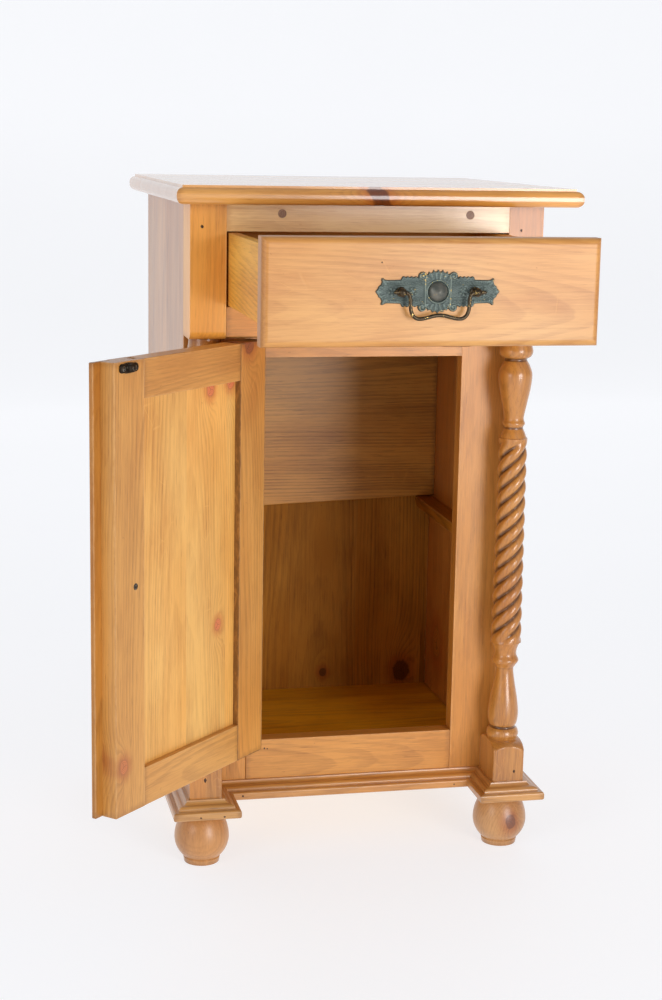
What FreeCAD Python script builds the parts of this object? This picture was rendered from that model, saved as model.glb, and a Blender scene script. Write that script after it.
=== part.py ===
import FreeCAD, Part
import math
import os
import Sketcher
from FreeCAD import Placement, Rotation, Vector

# A pine bedside cabinet: a framed box on four bun feet, with a drawer in a forward upper stage,
# twisted columns either side of a recessed cupboard, and one framed door.
# X runs to the right, Y to the back and Z up. The cabinet stands as it is used on show: the door
# is swung open and the drawer is drawn out. The origin is on the floor, at the middle of the box
# that holds the whole object in that pose.

SIZES = {
    # the box around the object, seen from the middle of the carcass front
    "origin_shift_x": (51.35, "moves the carcass so that X = 0 is the middle of everything"),
    "origin_shift_y": (-47.60, "moves the carcass so that Y = 0 is the middle of everything"),
    # carcass
    "half_width": (200.0, "half the width over the side panels"),
    "carcass_back": (380.0, "front of the upper stage to the back"),
    "carcass_base": (65.5, "underside of the carcass, top of the feet"),
    "carcass_top": (760.0, "underside of the top board"),
    "upper_base": (611.0, "underside of the upper stage"),
    "recess": (52.0, "how far the cupboard front is set back"),
    "board_thick": (20.0, "side panels and frame members"),
    "back_thick": (10.0, "back panel"),
    # top board
    "top_thick": (20.0, "whole thickness of the top board"),
    "top_overhang": (23.5, "top board beyond each side"),
    "top_nose": (66.0, "top board beyond the front"),
    "quirk_set": (7.0, "raised field set back from the nose"),
    "quirk_rise": (2.5, "height of the raised field"),
    "nose_radius": (7.5, "rounding of the nose, above and below"),
    # upper stage
    "post_width": (40.0, "corner post over each column"),
    "post_round": (9.0, "rounded lower front corner of a post"),
    "rail_bottom": (729.0, "underside of the rail over the drawer"),
    "drawer_rail_top": (647.2, "top of the rail under the drawer"),
    "drawer_rail_base": (614.0, "underside of the rail under the drawer"),
    "plug_radius": (4.7, "wooden plugs in the top rail"),
    "plug_depth": (12.0, "depth of a plug"),
    "plug_height": (748.5, "height of the plugs above the floor"),
    "plug_left": (-99.0, "left plug from the middle"),
    "plug_right": (114.0, "right plug from the middle"),
    "dust_thick": (14.0, "dust board under the drawer"),
    "runner_width": (40.0, "runner that a drawer side slides on"),
    "guide_gap": (1.0, "drawer side to guide"),
    "guide_height": (34.0, "guide beside a drawer side"),
    # cupboard front and inside
    "stile_inner": (125.0, "inner edge of a cupboard stile"),
    "cup_rail_top": (132.5, "top of the rail under the door"),
    "head_rail_base": (585.0, "underside of the rail over the door"),
    "floor_top": (95.0, "top of the floor board"),
    "floor_thick": (15.0, "floor board"),
    "cleat_top": (360.0, "top of a shelf cleat"),
    "cleat_height": (14.0, "height of a shelf cleat"),
    "cleat_width": (24.0, "shelf cleat from the side panel"),
    "cleat_back_left": (349.5, "rear end of the left shelf cleat"),
    "cleat_back_right": (358.0, "rear end of the right shelf cleat"),
    "cleat_snipe": (9.0, "length of the cut under a cleat's rear end"),
    "backer_thick": (20.0, "inner board in the upper part of the back"),
    "backer_top": (700.0, "top of the inner back board"),
    "backer_low_left": (348.0, "lower edge of the inner back board, left"),
    "backer_low_right": (362.0, "lower edge of the inner back board, right"),
    # columns
    "column_x": (181.0, "column axis from the middle"),
    "column_y": (23.0, "column axis behind the upper stage's front"),
    "block_width": (38.0, "foot block of a column"),
    "block_front": (-6.0, "front face of a foot block"),
    "shoulder_low": (117.0, "where the block's shoulder starts to curve in"),
    "shoulder_top": (131.0, "top of the block's shoulder"),
    "twist_low": (249.0, "lower end of the twist"),
    "twist_high": (493.0, "upper end of the twist"),
    "twist_radius_low": (18.3, "strand radius at the lower end"),
    "twist_radius_high": (16.6, "strand radius at the upper end"),
    "twist_depth": (3.4, "depth of the grooves between strands"),
    "twist_lead": (76.0, "rise of one strand in a full turn"),
    # plinth moulding and feet
    "moulding_top": (85.0, "top of the plinth moulding"),
    "moulding_out": (20.0, "projection of the plinth moulding"),
    "cap_flat": (3.2, "flat on top of the moulding"),
    "cove_size": (4.6, "cove below the flat, across and down"),
    "cove_radius": (5.2, "hollow of the cove"),
    "cove_fillet": (1.6, "flat between the cove and the ovolo"),
    "ovolo_wide": (4.2, "ovolo, across"),
    "ovolo_tall": (3.4, "ovolo, down"),
    "ovolo_radius": (4.4, "rounding of the ovolo"),
    "ovolo_step": (1.4, "step below the ovolo"),
    "lip_round": (2.4, "rounded upper edge of the moulding's lip"),
    "lip_foot_round": (3.4, "rounded lower edge of the moulding's lip"),
    "foot_radius": (31.8, "bun foot at its widest"),
    "foot_back": (347.5, "rear foot axis behind the upper stage's front"),
    "corner_block": (44.0, "glue block over a rear foot"),
    # drawer
    "drawer_out": (249.0, "how far the drawer is drawn out"),
    "front_half": (170.0, "half the width of the drawer front"),
    "front_base": (633.0, "underside of the drawer front"),
    "front_top": (739.0, "top of the drawer front"),
    "front_thick": (21.5, "drawer front"),
    "front_round": (6.5, "rounded front edges of the drawer front"),
    "box_half": (157.5, "half the width over the drawer sides"),
    "box_base": (647.7, "underside of the drawer sides"),
    "box_top": (727.5, "top of the drawer sides"),
    "box_long": (338.0, "drawer front to the back of the drawer"),
    "box_thick": (12.0, "drawer sides and back"),
    "tray_thick": (6.0, "drawer bottom"),
    "tray_lift": (5.0, "drawer bottom above the lower edge of the sides"),
    "groove_deep": (6.0, "groove for the drawer bottom"),
    # drawer pull
    "pull_x": (3.0, "middle of the pull from the middle of the drawer"),
    "pull_z": (687.0, "height of the pull's hinge line"),
    "plate_thick": (2.2, "cast plate"),
    "plate_half": (62.5, "half the length of the plate"),
    "boss_radius": (10.8, "domed boss"),
    "boss_height": (8.0, "boss from the drawer front"),
    "eye_half": (37.5, "half the distance between the eyes"),
    "eye_out": (10.0, "hinge line from the drawer front"),
    "eye_radius": (4.3, "ball of an eye"),
    "eye_hole": (1.97, "hole through an eye"),
    "shank_radius": (2.0, "threaded shank of an eye"),
    "wire_radius": (1.9, "bail wire"),
    "bail_end": (46.5, "tip of the bail from its middle"),
    "bail_leg": (29.6, "leg of the bail from its middle"),
    "bail_drop": (25.5, "lower bend of the bail under the hinge line"),
    "bail_arch": (3.5, "rise in the middle of the bail's grip"),
    "bail_bend": (3.4, "bend beside an eye"),
    "bail_corner": (7.0, "bend at a lower corner of the bail"),
    "bail_sweep": (60.0, "gentle bend in the middle of the grip"),
    "nut_radius": (4.5, "nut behind the drawer front"),
    "nut_thick": (3.0, "thickness of a nut"),
    # door, measured from its hinge line: S along the door, T from the hinge line into the door
    "hinge_x": (-132.0, "hinge line from the middle"),
    "hinge_y": (25.7, "hinge line behind the upper stage's front"),
    "door_open": (133.8, "opening angle, in degrees"),
    "door_gap": (1.4, "hinge line to the door's edge"),
    "door_long": (272.0, "hinge line to the door's free edge"),
    "door_face": (3.0, "hinge line to the door's outer face"),
    "door_thick": (22.7, "door frame"),
    "door_base": (136.5, "underside of the door"),
    "door_top": (610.0, "top of the door"),
    "door_stile": (48.6, "width of a door stile"),
    "door_head": (40.5, "width of the door's top rail"),
    "door_foot": (42.0, "width of the door's bottom rail"),
    "door_groove": (8.0, "depth of the groove that holds the panel"),
    "panel_thick": (9.7, "door panel"),
    "panel_set": (7.0, "panel below the door's inner face"),
    "strip_reach": (11.7, "closing strip beyond the free edge"),
    "strip_lap": (18.0, "closing strip let into the lock stile"),
    "strip_thick": (5.3, "closing strip"),
    "hang_strip_left": (-161.0, "left edge of the hanging strip, from the middle"),
    # hinges, catch and knob
    "hinge_low": (228.0, "middle of the lower hinge"),
    "hinge_high": (502.0, "middle of the upper hinge"),
    "hinge_tall": (50.0, "height of a hinge leaf"),
    "hinge_wide": (20.0, "width of a leaf from the hinge line"),
    "leaf_thick": (1.1, "hinge leaf"),
    "knuckle_radius": (2.6, "knuckle"),
    "knuckle_tall": (16.4, "middle knuckle"),
    "knuckle_gap": (0.4, "play between knuckles"),
    "pin_radius": (1.25, "hinge pin"),
    "pin_play": (0.05, "radial play of a hinge pin"),
    "screw_radius": (1.2, "hinge screw shank"),
    "screw_head": (2.2, "hinge screw head"),
    "screw_long": (12.0, "hinge screw"),
    "catch_in": (22.4, "middle of the catch from the free edge"),
    "catch_down": (6.8, "middle of the catch below the door's top"),
    "catch_long": (29.0, "catch over its two ears"),
    "catch_tall": (11.0, "catch"),
    "catch_ear": (3.0, "thickness of a catch ear"),
    "catch_high": (7.0, "raised middle of the catch"),
    "notch_deep": (9.0, "notch in the frame that takes the catch"),
    "notch_play": (2.0, "notch beyond the catch all round"),
    "keeper_thick": (1.5, "keeper plate in the notch"),
    "knob_in": (34.0, "knob from the free edge"),
    "knob_height": (377.0, "height of the knob"),
    "knob_radius": (15.0, "knob"),
    "knob_out": (25.0, "knob from the door's outer face"),
    "knob_screw": (2.0, "knob screw shank"),
    "knob_screw_head": (3.6, "knob screw head"),
}

HINGE_STEPS = (-17.0, 0.0, 17.0)   # screws above and below the middle of a hinge
COLUMN_STRANDS = 4
TWIST_LEVELS = 49                  # sections along the twist
SECTION_POINTS = 32                # points round one section
TWIST_FADE = 9.0                   # length over which the grooves run out
SHOULDER_STEP = 2.5                # top of a block's shoulder inside its faces
SHOULDER_CROWN = (5.5, 4.6)        # where the shoulder's curve passes, in from its corner and down

# Turned outlines as (radius, height) pairs between the ends of a column.
UPPER_TURNING = ((17.0, 611.0), (17.6, 603.0), (19.5, 594.0), (17.4, 588.0), (12.8, 584.5),
                 (16.5, 577.0), (19.5, 567.0), (18.3, 552.0), (14.6, 533.0), (11.5, 516.5),
                 (13.1, 510.0), (11.0, 505.0), (13.4, 499.0), (16.4, 491.0))
LOWER_TURNING = ((18.0, 251.0), (14.0, 241.5), (13.2, 234.0), (16.0, 226.6), (12.8, 221.0),
                 (10.4, 215.4), (12.4, 200.0), (16.4, 178.0), (18.0, 161.0), (16.6, 150.0),
                 (14.5, 145.5), (17.6, 142.0), (19.0, 137.0), (17.8, 132.5), (16.5, 128.0))

doc = FreeCAD.newDocument("bedside_cabinet")
sheet = doc.addObject("Spreadsheet::Sheet", "dims")


class Dim:
    """A length that holds its value and the sheet expression that gives the same value."""

    def __init__(self, value, text):
        self.value = float(value)
        self.text = text

    @staticmethod
    def of(number):
        return number if isinstance(number, Dim) else Dim(number, repr(float(number)))

    def join(self, other, sign, value):
        return Dim(value, f"({self.text} {sign} {other.text})")

    def __add__(self, other):
        other = Dim.of(other)
        return self.join(other, "+", self.value + other.value)

    def __sub__(self, other):
        other = Dim.of(other)
        return self.join(other, "-", self.value - other.value)

    def __mul__(self, other):
        other = Dim.of(other)
        return self.join(other, "*", self.value * other.value)

    def __truediv__(self, other):
        other = Dim.of(other)
        return self.join(other, "/", self.value / other.value)

    def __radd__(self, other):
        return Dim.of(other) + self

    def __rsub__(self, other):
        return Dim.of(other) - self

    def __rmul__(self, other):
        return Dim.of(other) * self

    def __neg__(self):
        return Dim(-self.value, f"(-1 * {self.text})")


class Sizes:
    """The sheet's cells as attributes."""

    def __init__(self, table):
        for row, (alias, (value, note)) in enumerate(table.items(), start=1):
            sheet.set(f"A{row}", alias)
            sheet.set(f"B{row}", str(value))
            sheet.set(f"C{row}", note)
            sheet.setAlias(f"B{row}", alias)
            setattr(self, alias, Dim(value, f"dims.{alias}"))


d = Sizes(SIZES)
doc.recompute()


class Frame:
    """Where a group of pieces is: an origin, and a turn about the upright axis."""

    def __init__(self, x, y, turn=None):
        self.x, self.y, self.turn = Dim.of(x), Dim.of(y), turn
        if turn is not None:
            angle = math.radians(turn.value)
            self.cos = Dim(math.cos(angle), f"cos({turn.text} * 1deg)")
            self.sin = Dim(math.sin(angle), f"sin({turn.text} * 1deg)")

    def point(self, x, y):
        if self.turn is None:
            return self.x + x, self.y + y
        return self.x + self.cos * x - self.sin * y, self.y + self.sin * x + self.cos * y


CARCASS = Frame(d.origin_shift_x, d.origin_shift_y)
DRAWER = Frame(d.origin_shift_x, d.origin_shift_y - d.drawer_out)
DOOR = Frame(d.origin_shift_x + d.hinge_x, d.origin_shift_y + d.hinge_y, -d.door_open)
HINGE_POST = Frame(d.origin_shift_x + d.hinge_x, d.origin_shift_y + d.hinge_y)

PARTS = []


def bind(item, name, value):
    """Ties a property to the sheet, or sets it when it is a plain number."""
    if isinstance(value, Dim):
        item.setExpression(name, value.text)
    else:
        setattr(item, name, value)


def place(item, frame, x, y, z, rotation=None):
    """Puts an object at a point of a frame, turned with that frame."""
    spin = rotation or Rotation()
    px, py = frame.point(x, y)
    pz = Dim.of(z)
    if frame.turn is not None:
        spin = Rotation(Vector(0, 0, 1), frame.turn.value).multiply(spin)
    item.Placement = Placement(Vector(px.value, py.value, pz.value), spin)
    if frame.turn is not None and rotation is None:
        item.setExpression("Placement.Rotation.Angle", frame.turn.text)
    for axis, value in (("x", px), ("y", py), ("z", pz)):
        item.setExpression(f"Placement.Base.{axis}", value.text)


def keep(item, label):
    """Names a finished piece and lists it for export."""
    item.Label = label
    PARTS.append(item)
    return item


def box(frame, x, y, z):
    """A square-edged block between three pairs of faces."""
    item = doc.addObject("Part::Box", "block")
    for name, (low, high) in zip(("Length", "Width", "Height"), (x, y, z)):
        bind(item, name, Dim.of(high) - low)
    place(item, frame, x[0], y[0], z[0])
    return item


def board(label, frame, x, y, z):
    return keep(box(frame, x, y, z), label)


ALONG_X = Rotation(Vector(0, 1, 0), 90)
ALONG_Y = Rotation(Vector(1, 0, 0), -90)


def rod(frame, x, y, z, radius, long, rotation=None):
    """A round rod that starts at a point and runs up, or along the given direction."""
    item = doc.addObject("Part::Cylinder", "rod")
    bind(item, "Radius", Dim.of(radius))
    bind(item, "Height", Dim.of(long))
    place(item, frame, x, y, z, rotation)
    return item


def cone(frame, x, y, z, start_radius, end_radius, long, rotation=None):
    item = doc.addObject("Part::Cone", "cone")
    bind(item, "Radius1", Dim.of(start_radius))
    bind(item, "Radius2", Dim.of(end_radius))
    bind(item, "Height", Dim.of(long))
    place(item, frame, x, y, z, rotation)
    return item


def fuse(items):
    item = doc.addObject("Part::MultiFuse", "fused")
    item.Shapes = items
    return item


def group(items):
    """Several separate solids in one node."""
    item = doc.addObject("Part::Compound", "group")
    item.Links = items
    return item


def cut(base, tool):
    item = doc.addObject("Part::Cut", "cut")
    item.Base = base
    item.Tool = tool
    return item


def new_body(frame, x, y, z, rotation=None):
    item = doc.addObject("PartDesign::Body", "body")
    place(item, frame, x, y, z, rotation)
    return item


def sketch(body, role):
    """An empty sketch on one of the body's own origin planes."""
    plane = next(feature for feature in body.Origin.OriginFeatures if feature.Role == role)
    item = body.newObject("Sketcher::SketchObject", "sketch")
    item.AttachmentSupport = (plane, [""])
    item.MapMode = "FlatFace"
    return item


def arc_through(start, end, radius):
    """A short arc between two points: it runs anticlockwise when the radius is positive."""
    chord = end - start
    middle = (start + end) * 0.5
    reach = math.sqrt(max(radius * radius - chord.Length ** 2 / 4.0, 0.0))
    side = Vector(-chord.y, chord.x, 0).normalize() * (reach if radius > 0 else -reach)
    centre = middle + side
    first, last = (start, end) if radius > 0 else (end, start)
    angles = [math.atan2((point - centre).y, (point - centre).x) for point in (first, last)]
    if angles[1] < angles[0]:
        angles[1] += 2 * math.pi
    circle = Part.Circle(centre, Vector(0, 0, 1), abs(radius))
    return Part.ArcOfCircle(circle, angles[0], angles[1])


def outline(item, points):
    """A closed outline. A point is (u, v), or (u, v, radius) when an arc leads to it."""
    ends = [Vector(Dim.of(p[0]).value, Dim.of(p[1]).value, 0) for p in points]
    edges = []
    for index, point in enumerate(points):
        start, end = ends[index - 1], ends[index]
        if len(point) == 3:
            radius = Dim.of(point[2])
            edge = item.addGeometry(arc_through(start, end, radius.value))
            item.addConstraint(Sketcher.Constraint("Radius", edge, abs(radius.value)))
            edges.append((edge, 1, 2) if radius.value > 0 else (edge, 2, 1))
        else:
            edges.append((item.addGeometry(Part.LineSegment(start, end)), 1, 2))
    for index, point in enumerate(points):
        edge, _, tip = edges[index]
        follower, heel, _ = edges[(index + 1) % len(edges)]
        item.addConstraint(Sketcher.Constraint("Coincident", edge, tip, follower, heel))
        for kind, value in (("DistanceX", point[0]), ("DistanceY", point[1])):
            tie(item, kind, edge, tip, Dim.of(value))
    return item


def tie(item, kind, edge, tip, value):
    """Gives one end of an edge a dimension from the sketch's origin, bound to the sheet."""
    index = item.addConstraint(Sketcher.Constraint(kind, -1, 1, edge, tip, value.value))
    name = f"{kind}_{edge}"
    item.renameConstraint(index, name)
    item.setExpression(f"Constraints.{name}", value.text)


def rectangle(item, u, v):
    return outline(item, [(u[0], v[0]), (u[1], v[0]), (u[1], v[1]), (u[0], v[1])])


def pad(body, profile, long, backwards=False):
    item = body.newObject("PartDesign::Pad", "pad")
    item.Profile = profile
    bind(item, "Length", Dim.of(long))
    item.Reversed = backwards
    profile.Visibility = False
    body.Tip = item
    return item


def round_edges(body, radius, wanted):
    """Rounds the edges whose middle passes the test, in the body's own coordinates."""
    doc.recompute()
    base = body.Tip
    names = [f"Edge{number}" for number, edge in enumerate(base.Shape.Edges, start=1)
             if wanted(edge.CenterOfMass)]
    item = body.newObject("PartDesign::Fillet", "rounding")
    item.Base = (base, names)
    bind(item, "Radius", radius)
    body.Tip = item
    return item


def near(value, target):
    return abs(value - Dim.of(target).value) < 0.01


def turned(frame, x, y, z, points, rotation=None):
    """A round piece: the outline in radius and height is revolved about its own upright axis."""
    body = new_body(frame, x, y, z, rotation)
    profile = outline(sketch(body, "XZ_Plane"), points)
    item = body.newObject("PartDesign::Revolution", "turning")
    item.Profile = profile
    item.ReferenceAxis = (profile, ["V_Axis"])
    item.Angle = 360.0
    body.Tip = item
    return body


# --- top board -----------------------------------------------------------------------------

def make_top_board():
    """A board with a rounded nose on three sides and a slightly raised field."""
    body = new_body(CARCASS, 0, 0, d.carcass_top)
    side = d.half_width + d.top_overhang
    lower = d.top_thick - d.quirk_rise
    pad(body, rectangle(sketch(body, "XY_Plane"), (-side, side), (-d.top_nose, d.carcass_back)), lower)

    def on_nose(point):
        level = near(point.z, 0) or near(point.z, lower)
        return level and not near(point.y, d.carcass_back)

    round_edges(body, d.nose_radius, on_nose)
    field = side - d.quirk_set
    front = -d.top_nose + d.quirk_set
    pad(body, rectangle(sketch(body, "XY_Plane"), (-field, field), (front, d.carcass_back)), d.top_thick)
    return keep(body, "top_board")


# --- upper stage ---------------------------------------------------------------------------

def make_post(label, low_x):
    """A corner post over a column, with its lower front corner rounded off."""
    body = new_body(CARCASS, low_x, 0, d.upper_base)
    profile = sketch(body, "YZ_Plane")
    high = d.carcass_top - d.upper_base
    curve = d.post_round
    outline(profile, [(0, curve), (curve, 0, curve), (d.recess, 0), (d.recess, high), (0, high)])
    pad(body, profile, d.post_width)
    return keep(body, label)


def make_top_rail():
    """The rail over the drawer, drilled for two wooden plugs."""
    span = d.half_width - d.post_width
    plugs = [rod(CARCASS, x, 0, d.plug_height, d.plug_radius, d.plug_depth, ALONG_Y)
             for x in (d.plug_left, d.plug_right)]
    keep(group(plugs), "rail_plugs")
    rail = box(CARCASS, (-span, span), (0, d.board_thick), (d.rail_bottom, d.carcass_top))
    keep(cut(rail, fuse(plugs)), "top_rail")


def make_upper_stage():
    inner = d.half_width - d.post_width
    make_post("upper_post_left", -d.half_width)
    make_post("upper_post_right", inner)
    make_top_rail()
    board("drawer_rail", CARCASS, (-inner, inner), (0, d.board_thick),
          (d.drawer_rail_base, d.drawer_rail_top))
    rear = d.carcass_back - d.back_thick - d.backer_thick
    board("dust_board", CARCASS, (-inner, inner), (d.board_thick, rear),
          (d.upper_base, d.upper_base + d.dust_thick))
    side = d.half_width - d.board_thick
    wall = d.box_half + d.guide_gap
    for name, sign in (("left", -1), ("right", 1)):
        runner = sorted((sign * (side - d.runner_width), sign * side), key=lambda edge: edge.value)
        board(f"drawer_runner_{name}", CARCASS, runner, (d.recess, rear),
              (d.upper_base + d.dust_thick, d.drawer_rail_top))
        guide = sorted((sign * wall, sign * side), key=lambda edge: edge.value)
        board(f"drawer_guide_{name}", CARCASS, guide, (d.recess, rear),
              (d.drawer_rail_top, d.drawer_rail_top + d.guide_height))


# --- carcass -------------------------------------------------------------------------------

def make_sides_and_back():
    side = d.half_width - d.board_thick
    back = d.carcass_back - d.back_thick
    high = (d.carcass_base, d.carcass_top)
    board("side_panel_left", CARCASS, (-d.half_width, -side), (d.recess, d.carcass_back), high)
    board("side_panel_right", CARCASS, (side, d.half_width), (d.recess, d.carcass_back), high)
    board("back_panel", CARCASS, (-side, side), (back, d.carcass_back), high)
    board("floor_board", CARCASS, (-side, side), (d.recess + d.board_thick, back),
          (d.floor_top - d.floor_thick, d.floor_top))
    blocks = [box(CARCASS, pair, (back - d.corner_block, back),
                  (d.carcass_base, d.floor_top - d.floor_thick))
              for pair in ((-side, -side + d.corner_block), (side - d.corner_block, side))]
    keep(group(blocks), "corner_blocks")


def make_backer():
    """The inner back board. Its lower edge runs out of level."""
    side = d.half_width - d.board_thick
    body = new_body(CARCASS, 0, d.carcass_back - d.back_thick, 0)
    profile = sketch(body, "XZ_Plane")
    outline(profile, [(-side, d.backer_low_left), (side, d.backer_low_right),
                      (side, d.backer_top), (-side, d.backer_top)])
    pad(body, profile, d.backer_thick)
    keep(body, "inner_back_board")


def make_cleat(label, low_x, rear):
    """A shelf cleat whose rear end is cut back underneath."""
    body = new_body(CARCASS, low_x, 0, d.cleat_top - d.cleat_height)
    profile = sketch(body, "YZ_Plane")
    front = d.recess + d.board_thick
    outline(profile, [(front, 0), (rear - d.cleat_snipe, 0), (rear, d.cleat_height * 0.55),
                      (rear, d.cleat_height), (front, d.cleat_height)])
    pad(body, profile, d.cleat_width)
    keep(body, label)


def make_cleats():
    """A cleat on each side panel; their rear ends were cut to different lengths."""
    side = d.half_width - d.board_thick
    make_cleat("shelf_cleat_left", -side, d.cleat_back_left)
    make_cleat("shelf_cleat_right", side - d.cleat_width, d.cleat_back_right)


def catch_span():
    """The middle of the catch across the frame when the door is shut, and its height."""
    middle = d.hinge_x + d.door_long - d.catch_in
    level = d.door_top - d.catch_down
    return middle, level


def make_cupboard_front():
    """Stiles and rails round the door, with a notch and keeper for the catch."""
    face = (d.recess, d.recess + d.board_thick)
    inner, side = d.stile_inner, d.half_width - d.board_thick
    tall = (d.carcass_base, d.upper_base)
    board("lower_stile_left", CARCASS, (-side, -inner), face, tall)
    board("bottom_rail", CARCASS, (-inner, inner), face, (d.carcass_base, d.cup_rail_top))
    middle, level = catch_span()
    reach = d.catch_long / 2 + d.notch_play
    rise = d.catch_tall / 2 + d.notch_play
    span, heights = (middle - reach, middle + reach), (level - rise, level + rise)

    def notch():
        return box(CARCASS, span, (d.recess - 1, d.recess + d.notch_deep), heights)

    stile = box(CARCASS, (inner, side), face, tall)
    keep(cut(stile, notch()), "lower_stile_right")
    head = box(CARCASS, (-inner, inner), face, (d.head_rail_base, d.upper_base))
    keep(cut(head, notch()), "head_rail")
    bottom = d.recess + d.notch_deep
    board("catch_keeper", CARCASS, (middle - d.catch_long / 2, middle + d.catch_long / 2),
          (bottom - d.keeper_thick, bottom), (level - d.catch_tall / 2, level + d.catch_tall / 2))


# --- columns, plinth and feet --------------------------------------------------------------

def revolve_stations(stations):
    """A solid turned about Z through a smooth line of (radius, height) stations."""
    points = [Vector(radius, 0, height) for radius, height in stations]
    curve = Part.BSplineCurve()
    curve.interpolate(points)
    first, last = points[0], points[-1]
    axis = [Vector(0, 0, last.z), Vector(0, 0, first.z)]
    edges = [curve.toShape(), Part.makeLine(last, axis[0]),
             Part.makeLine(axis[0], axis[1]), Part.makeLine(axis[1], first)]
    return Part.Face(Part.Wire(edges)).revolve(Vector(), Vector(0, 0, 1), 360)


def twisted_stem(hand):
    """Four rounded strands wound round each other; hand is 1 or -1."""
    low, high = d.twist_low.value, d.twist_high.value
    rows = []
    for level in range(TWIST_LEVELS):
        share = level / (TWIST_LEVELS - 1)
        height = low + share * (high - low)
        radius = d.twist_radius_low.value * (1 - share) + d.twist_radius_high.value * share
        fade = min(1.0, (height - low) / TWIST_FADE, (high - height) / TWIST_FADE)
        depth = d.twist_depth.value * fade
        turn = hand * 2 * math.pi * (height - low) / d.twist_lead.value
        row = []
        for step in range(SECTION_POINTS + 1):
            angle = 2 * math.pi * step / SECTION_POINTS
            reach = radius - depth * (1 - math.cos(COLUMN_STRANDS * angle)) / 2
            row.append(Vector(reach * math.cos(angle + turn), reach * math.sin(angle + turn), height))
        rows.append(row)
    surface = Part.BSplineSurface()
    surface.interpolate(rows)
    skin = surface.toShape()
    rims = [[edge for edge in skin.Edges if near(edge.CenterOfMass.z, level)] for level in (low, high)]
    shell = Part.makeShell([skin] + [Part.Face(Part.Wire(rim)) for rim in rims])
    shell.sewShape()
    return Part.makeSolid(shell)


def shouldered_block():
    """The column's square foot, with shoulders turned down to the round."""
    width, front = d.block_width.value, d.block_front.value - d.column_y.value
    deep = d.recess.value - d.block_front.value
    base, low, top = d.carcass_base.value, d.shoulder_low.value, d.shoulder_top.value
    block = Part.makeBox(width, deep, top - base, Vector(-width / 2, front, base))
    corner = math.hypot(width / 2, deep / 2) + 1.0
    neck = width / 2 - SHOULDER_STEP
    crown = Vector(corner - SHOULDER_CROWN[0], 0, top - SHOULDER_CROWN[1])
    shoulder = Part.Arc(Vector(corner, 0, low), crown, Vector(neck, 0, top))
    edges = [Part.makeLine(Vector(0, 0, base), Vector(corner, 0, base)),
             Part.makeLine(Vector(corner, 0, base), Vector(corner, 0, low)), shoulder.toShape(),
             Part.makeLine(Vector(neck, 0, top), Vector(0, 0, top)),
             Part.makeLine(Vector(0, 0, top), Vector(0, 0, base))]
    turning = Part.Face(Part.Wire(edges)).revolve(Vector(), Vector(0, 0, 1), 360)
    return block.common(turning)


def make_column(label, x, hand):
    """A column in one piece: foot block, vase, twist and turned head."""
    pieces = [shouldered_block(), revolve_stations(LOWER_TURNING),
              twisted_stem(hand), revolve_stations(UPPER_TURNING)]
    item = doc.addObject("Part::Feature", "column")
    item.Shape = pieces[0].fuse(pieces[1:]).removeSplitter()
    place(item, CARCASS, x, d.column_y, 0)
    keep(item, label)


def moulding_outline(out, high):
    """From the top down: a flat, a cove, an ovolo over a step, and a lip with rounded edges."""
    cove_foot = high - d.cove_size
    cove_out = d.cap_flat + d.cove_size
    ovolo_out = cove_out + d.cove_fillet + d.ovolo_wide
    ovolo_foot = cove_foot - d.ovolo_tall
    shelf = ovolo_foot - d.ovolo_step
    lip, foot = d.lip_round, d.lip_foot_round
    return [(0, 0), (0, high), (-d.cap_flat, high), (-cove_out, cove_foot, -d.cove_radius),
            (-cove_out - d.cove_fillet, cove_foot), (-ovolo_out, ovolo_foot, d.ovolo_radius),
            (-ovolo_out, shelf), (-out + lip, shelf), (-out, shelf - lip, lip),
            (-out, foot), (-out + foot, 0, foot)]


def make_moulding(label, x, y, turn, long, start_mitre, end_mitre):
    """A plinth moulding along one face. A mitre is 1 outside, -1 inside a corner, 0 square."""
    out, high = d.moulding_out, d.moulding_top - d.carcass_base
    lead_in = out if start_mitre > 0 else Dim.of(0)
    whole = long + lead_in + (out if end_mitre > 0 else Dim.of(0))
    body = doc.addObject("PartDesign::Body", "moulding")
    angle = math.radians(turn)
    start_x = x - lead_in * round(math.cos(angle))
    start_y = y - lead_in * round(math.sin(angle))
    px, py = CARCASS.point(start_x, start_y)
    spin = Rotation(Vector(0, 0, 1), turn)
    body.Placement = Placement(Vector(px.value, py.value, d.carcass_base.value), spin)
    for axis, value in (("x", px), ("y", py), ("z", d.carcass_base)):
        body.setExpression(f"Placement.Base.{axis}", value.text)
    profile = sketch(body, "YZ_Plane")
    outline(profile, moulding_outline(out, high))
    pad(body, profile, whole)
    for mitre, at_start in ((start_mitre, True), (end_mitre, False)):
        if mitre:
            cut_mitre(body, mitre, at_start, whole, out)
    keep(body, label)


def cut_mitre(body, mitre, at_start, whole, out):
    """Cuts one end of a moulding to 45 degrees."""
    tip = Dim.of(0) if at_start else whole
    inward = out if at_start else -out
    flank = (tip, 0) if mitre > 0 else (tip, -out)
    reach = (tip + inward, 0) if mitre > 0 else (tip + inward, -out)
    corner = (tip, -out) if mitre > 0 else (tip, 0)
    points = [flank, reach, corner]
    doc.recompute()
    before = body.Shape.Volume
    profile = outline(sketch(body, "XY_Plane"), points)
    item = body.newObject("PartDesign::Pocket", "mitre")
    item.Profile = profile
    item.Type = "ThroughAll"
    item.SideType = "Symmetric"
    body.Tip = item
    doc.recompute()
    if body.Shape.Volume > before - 1.0:
        raise RuntimeError("a mitre cut nothing")


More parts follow.
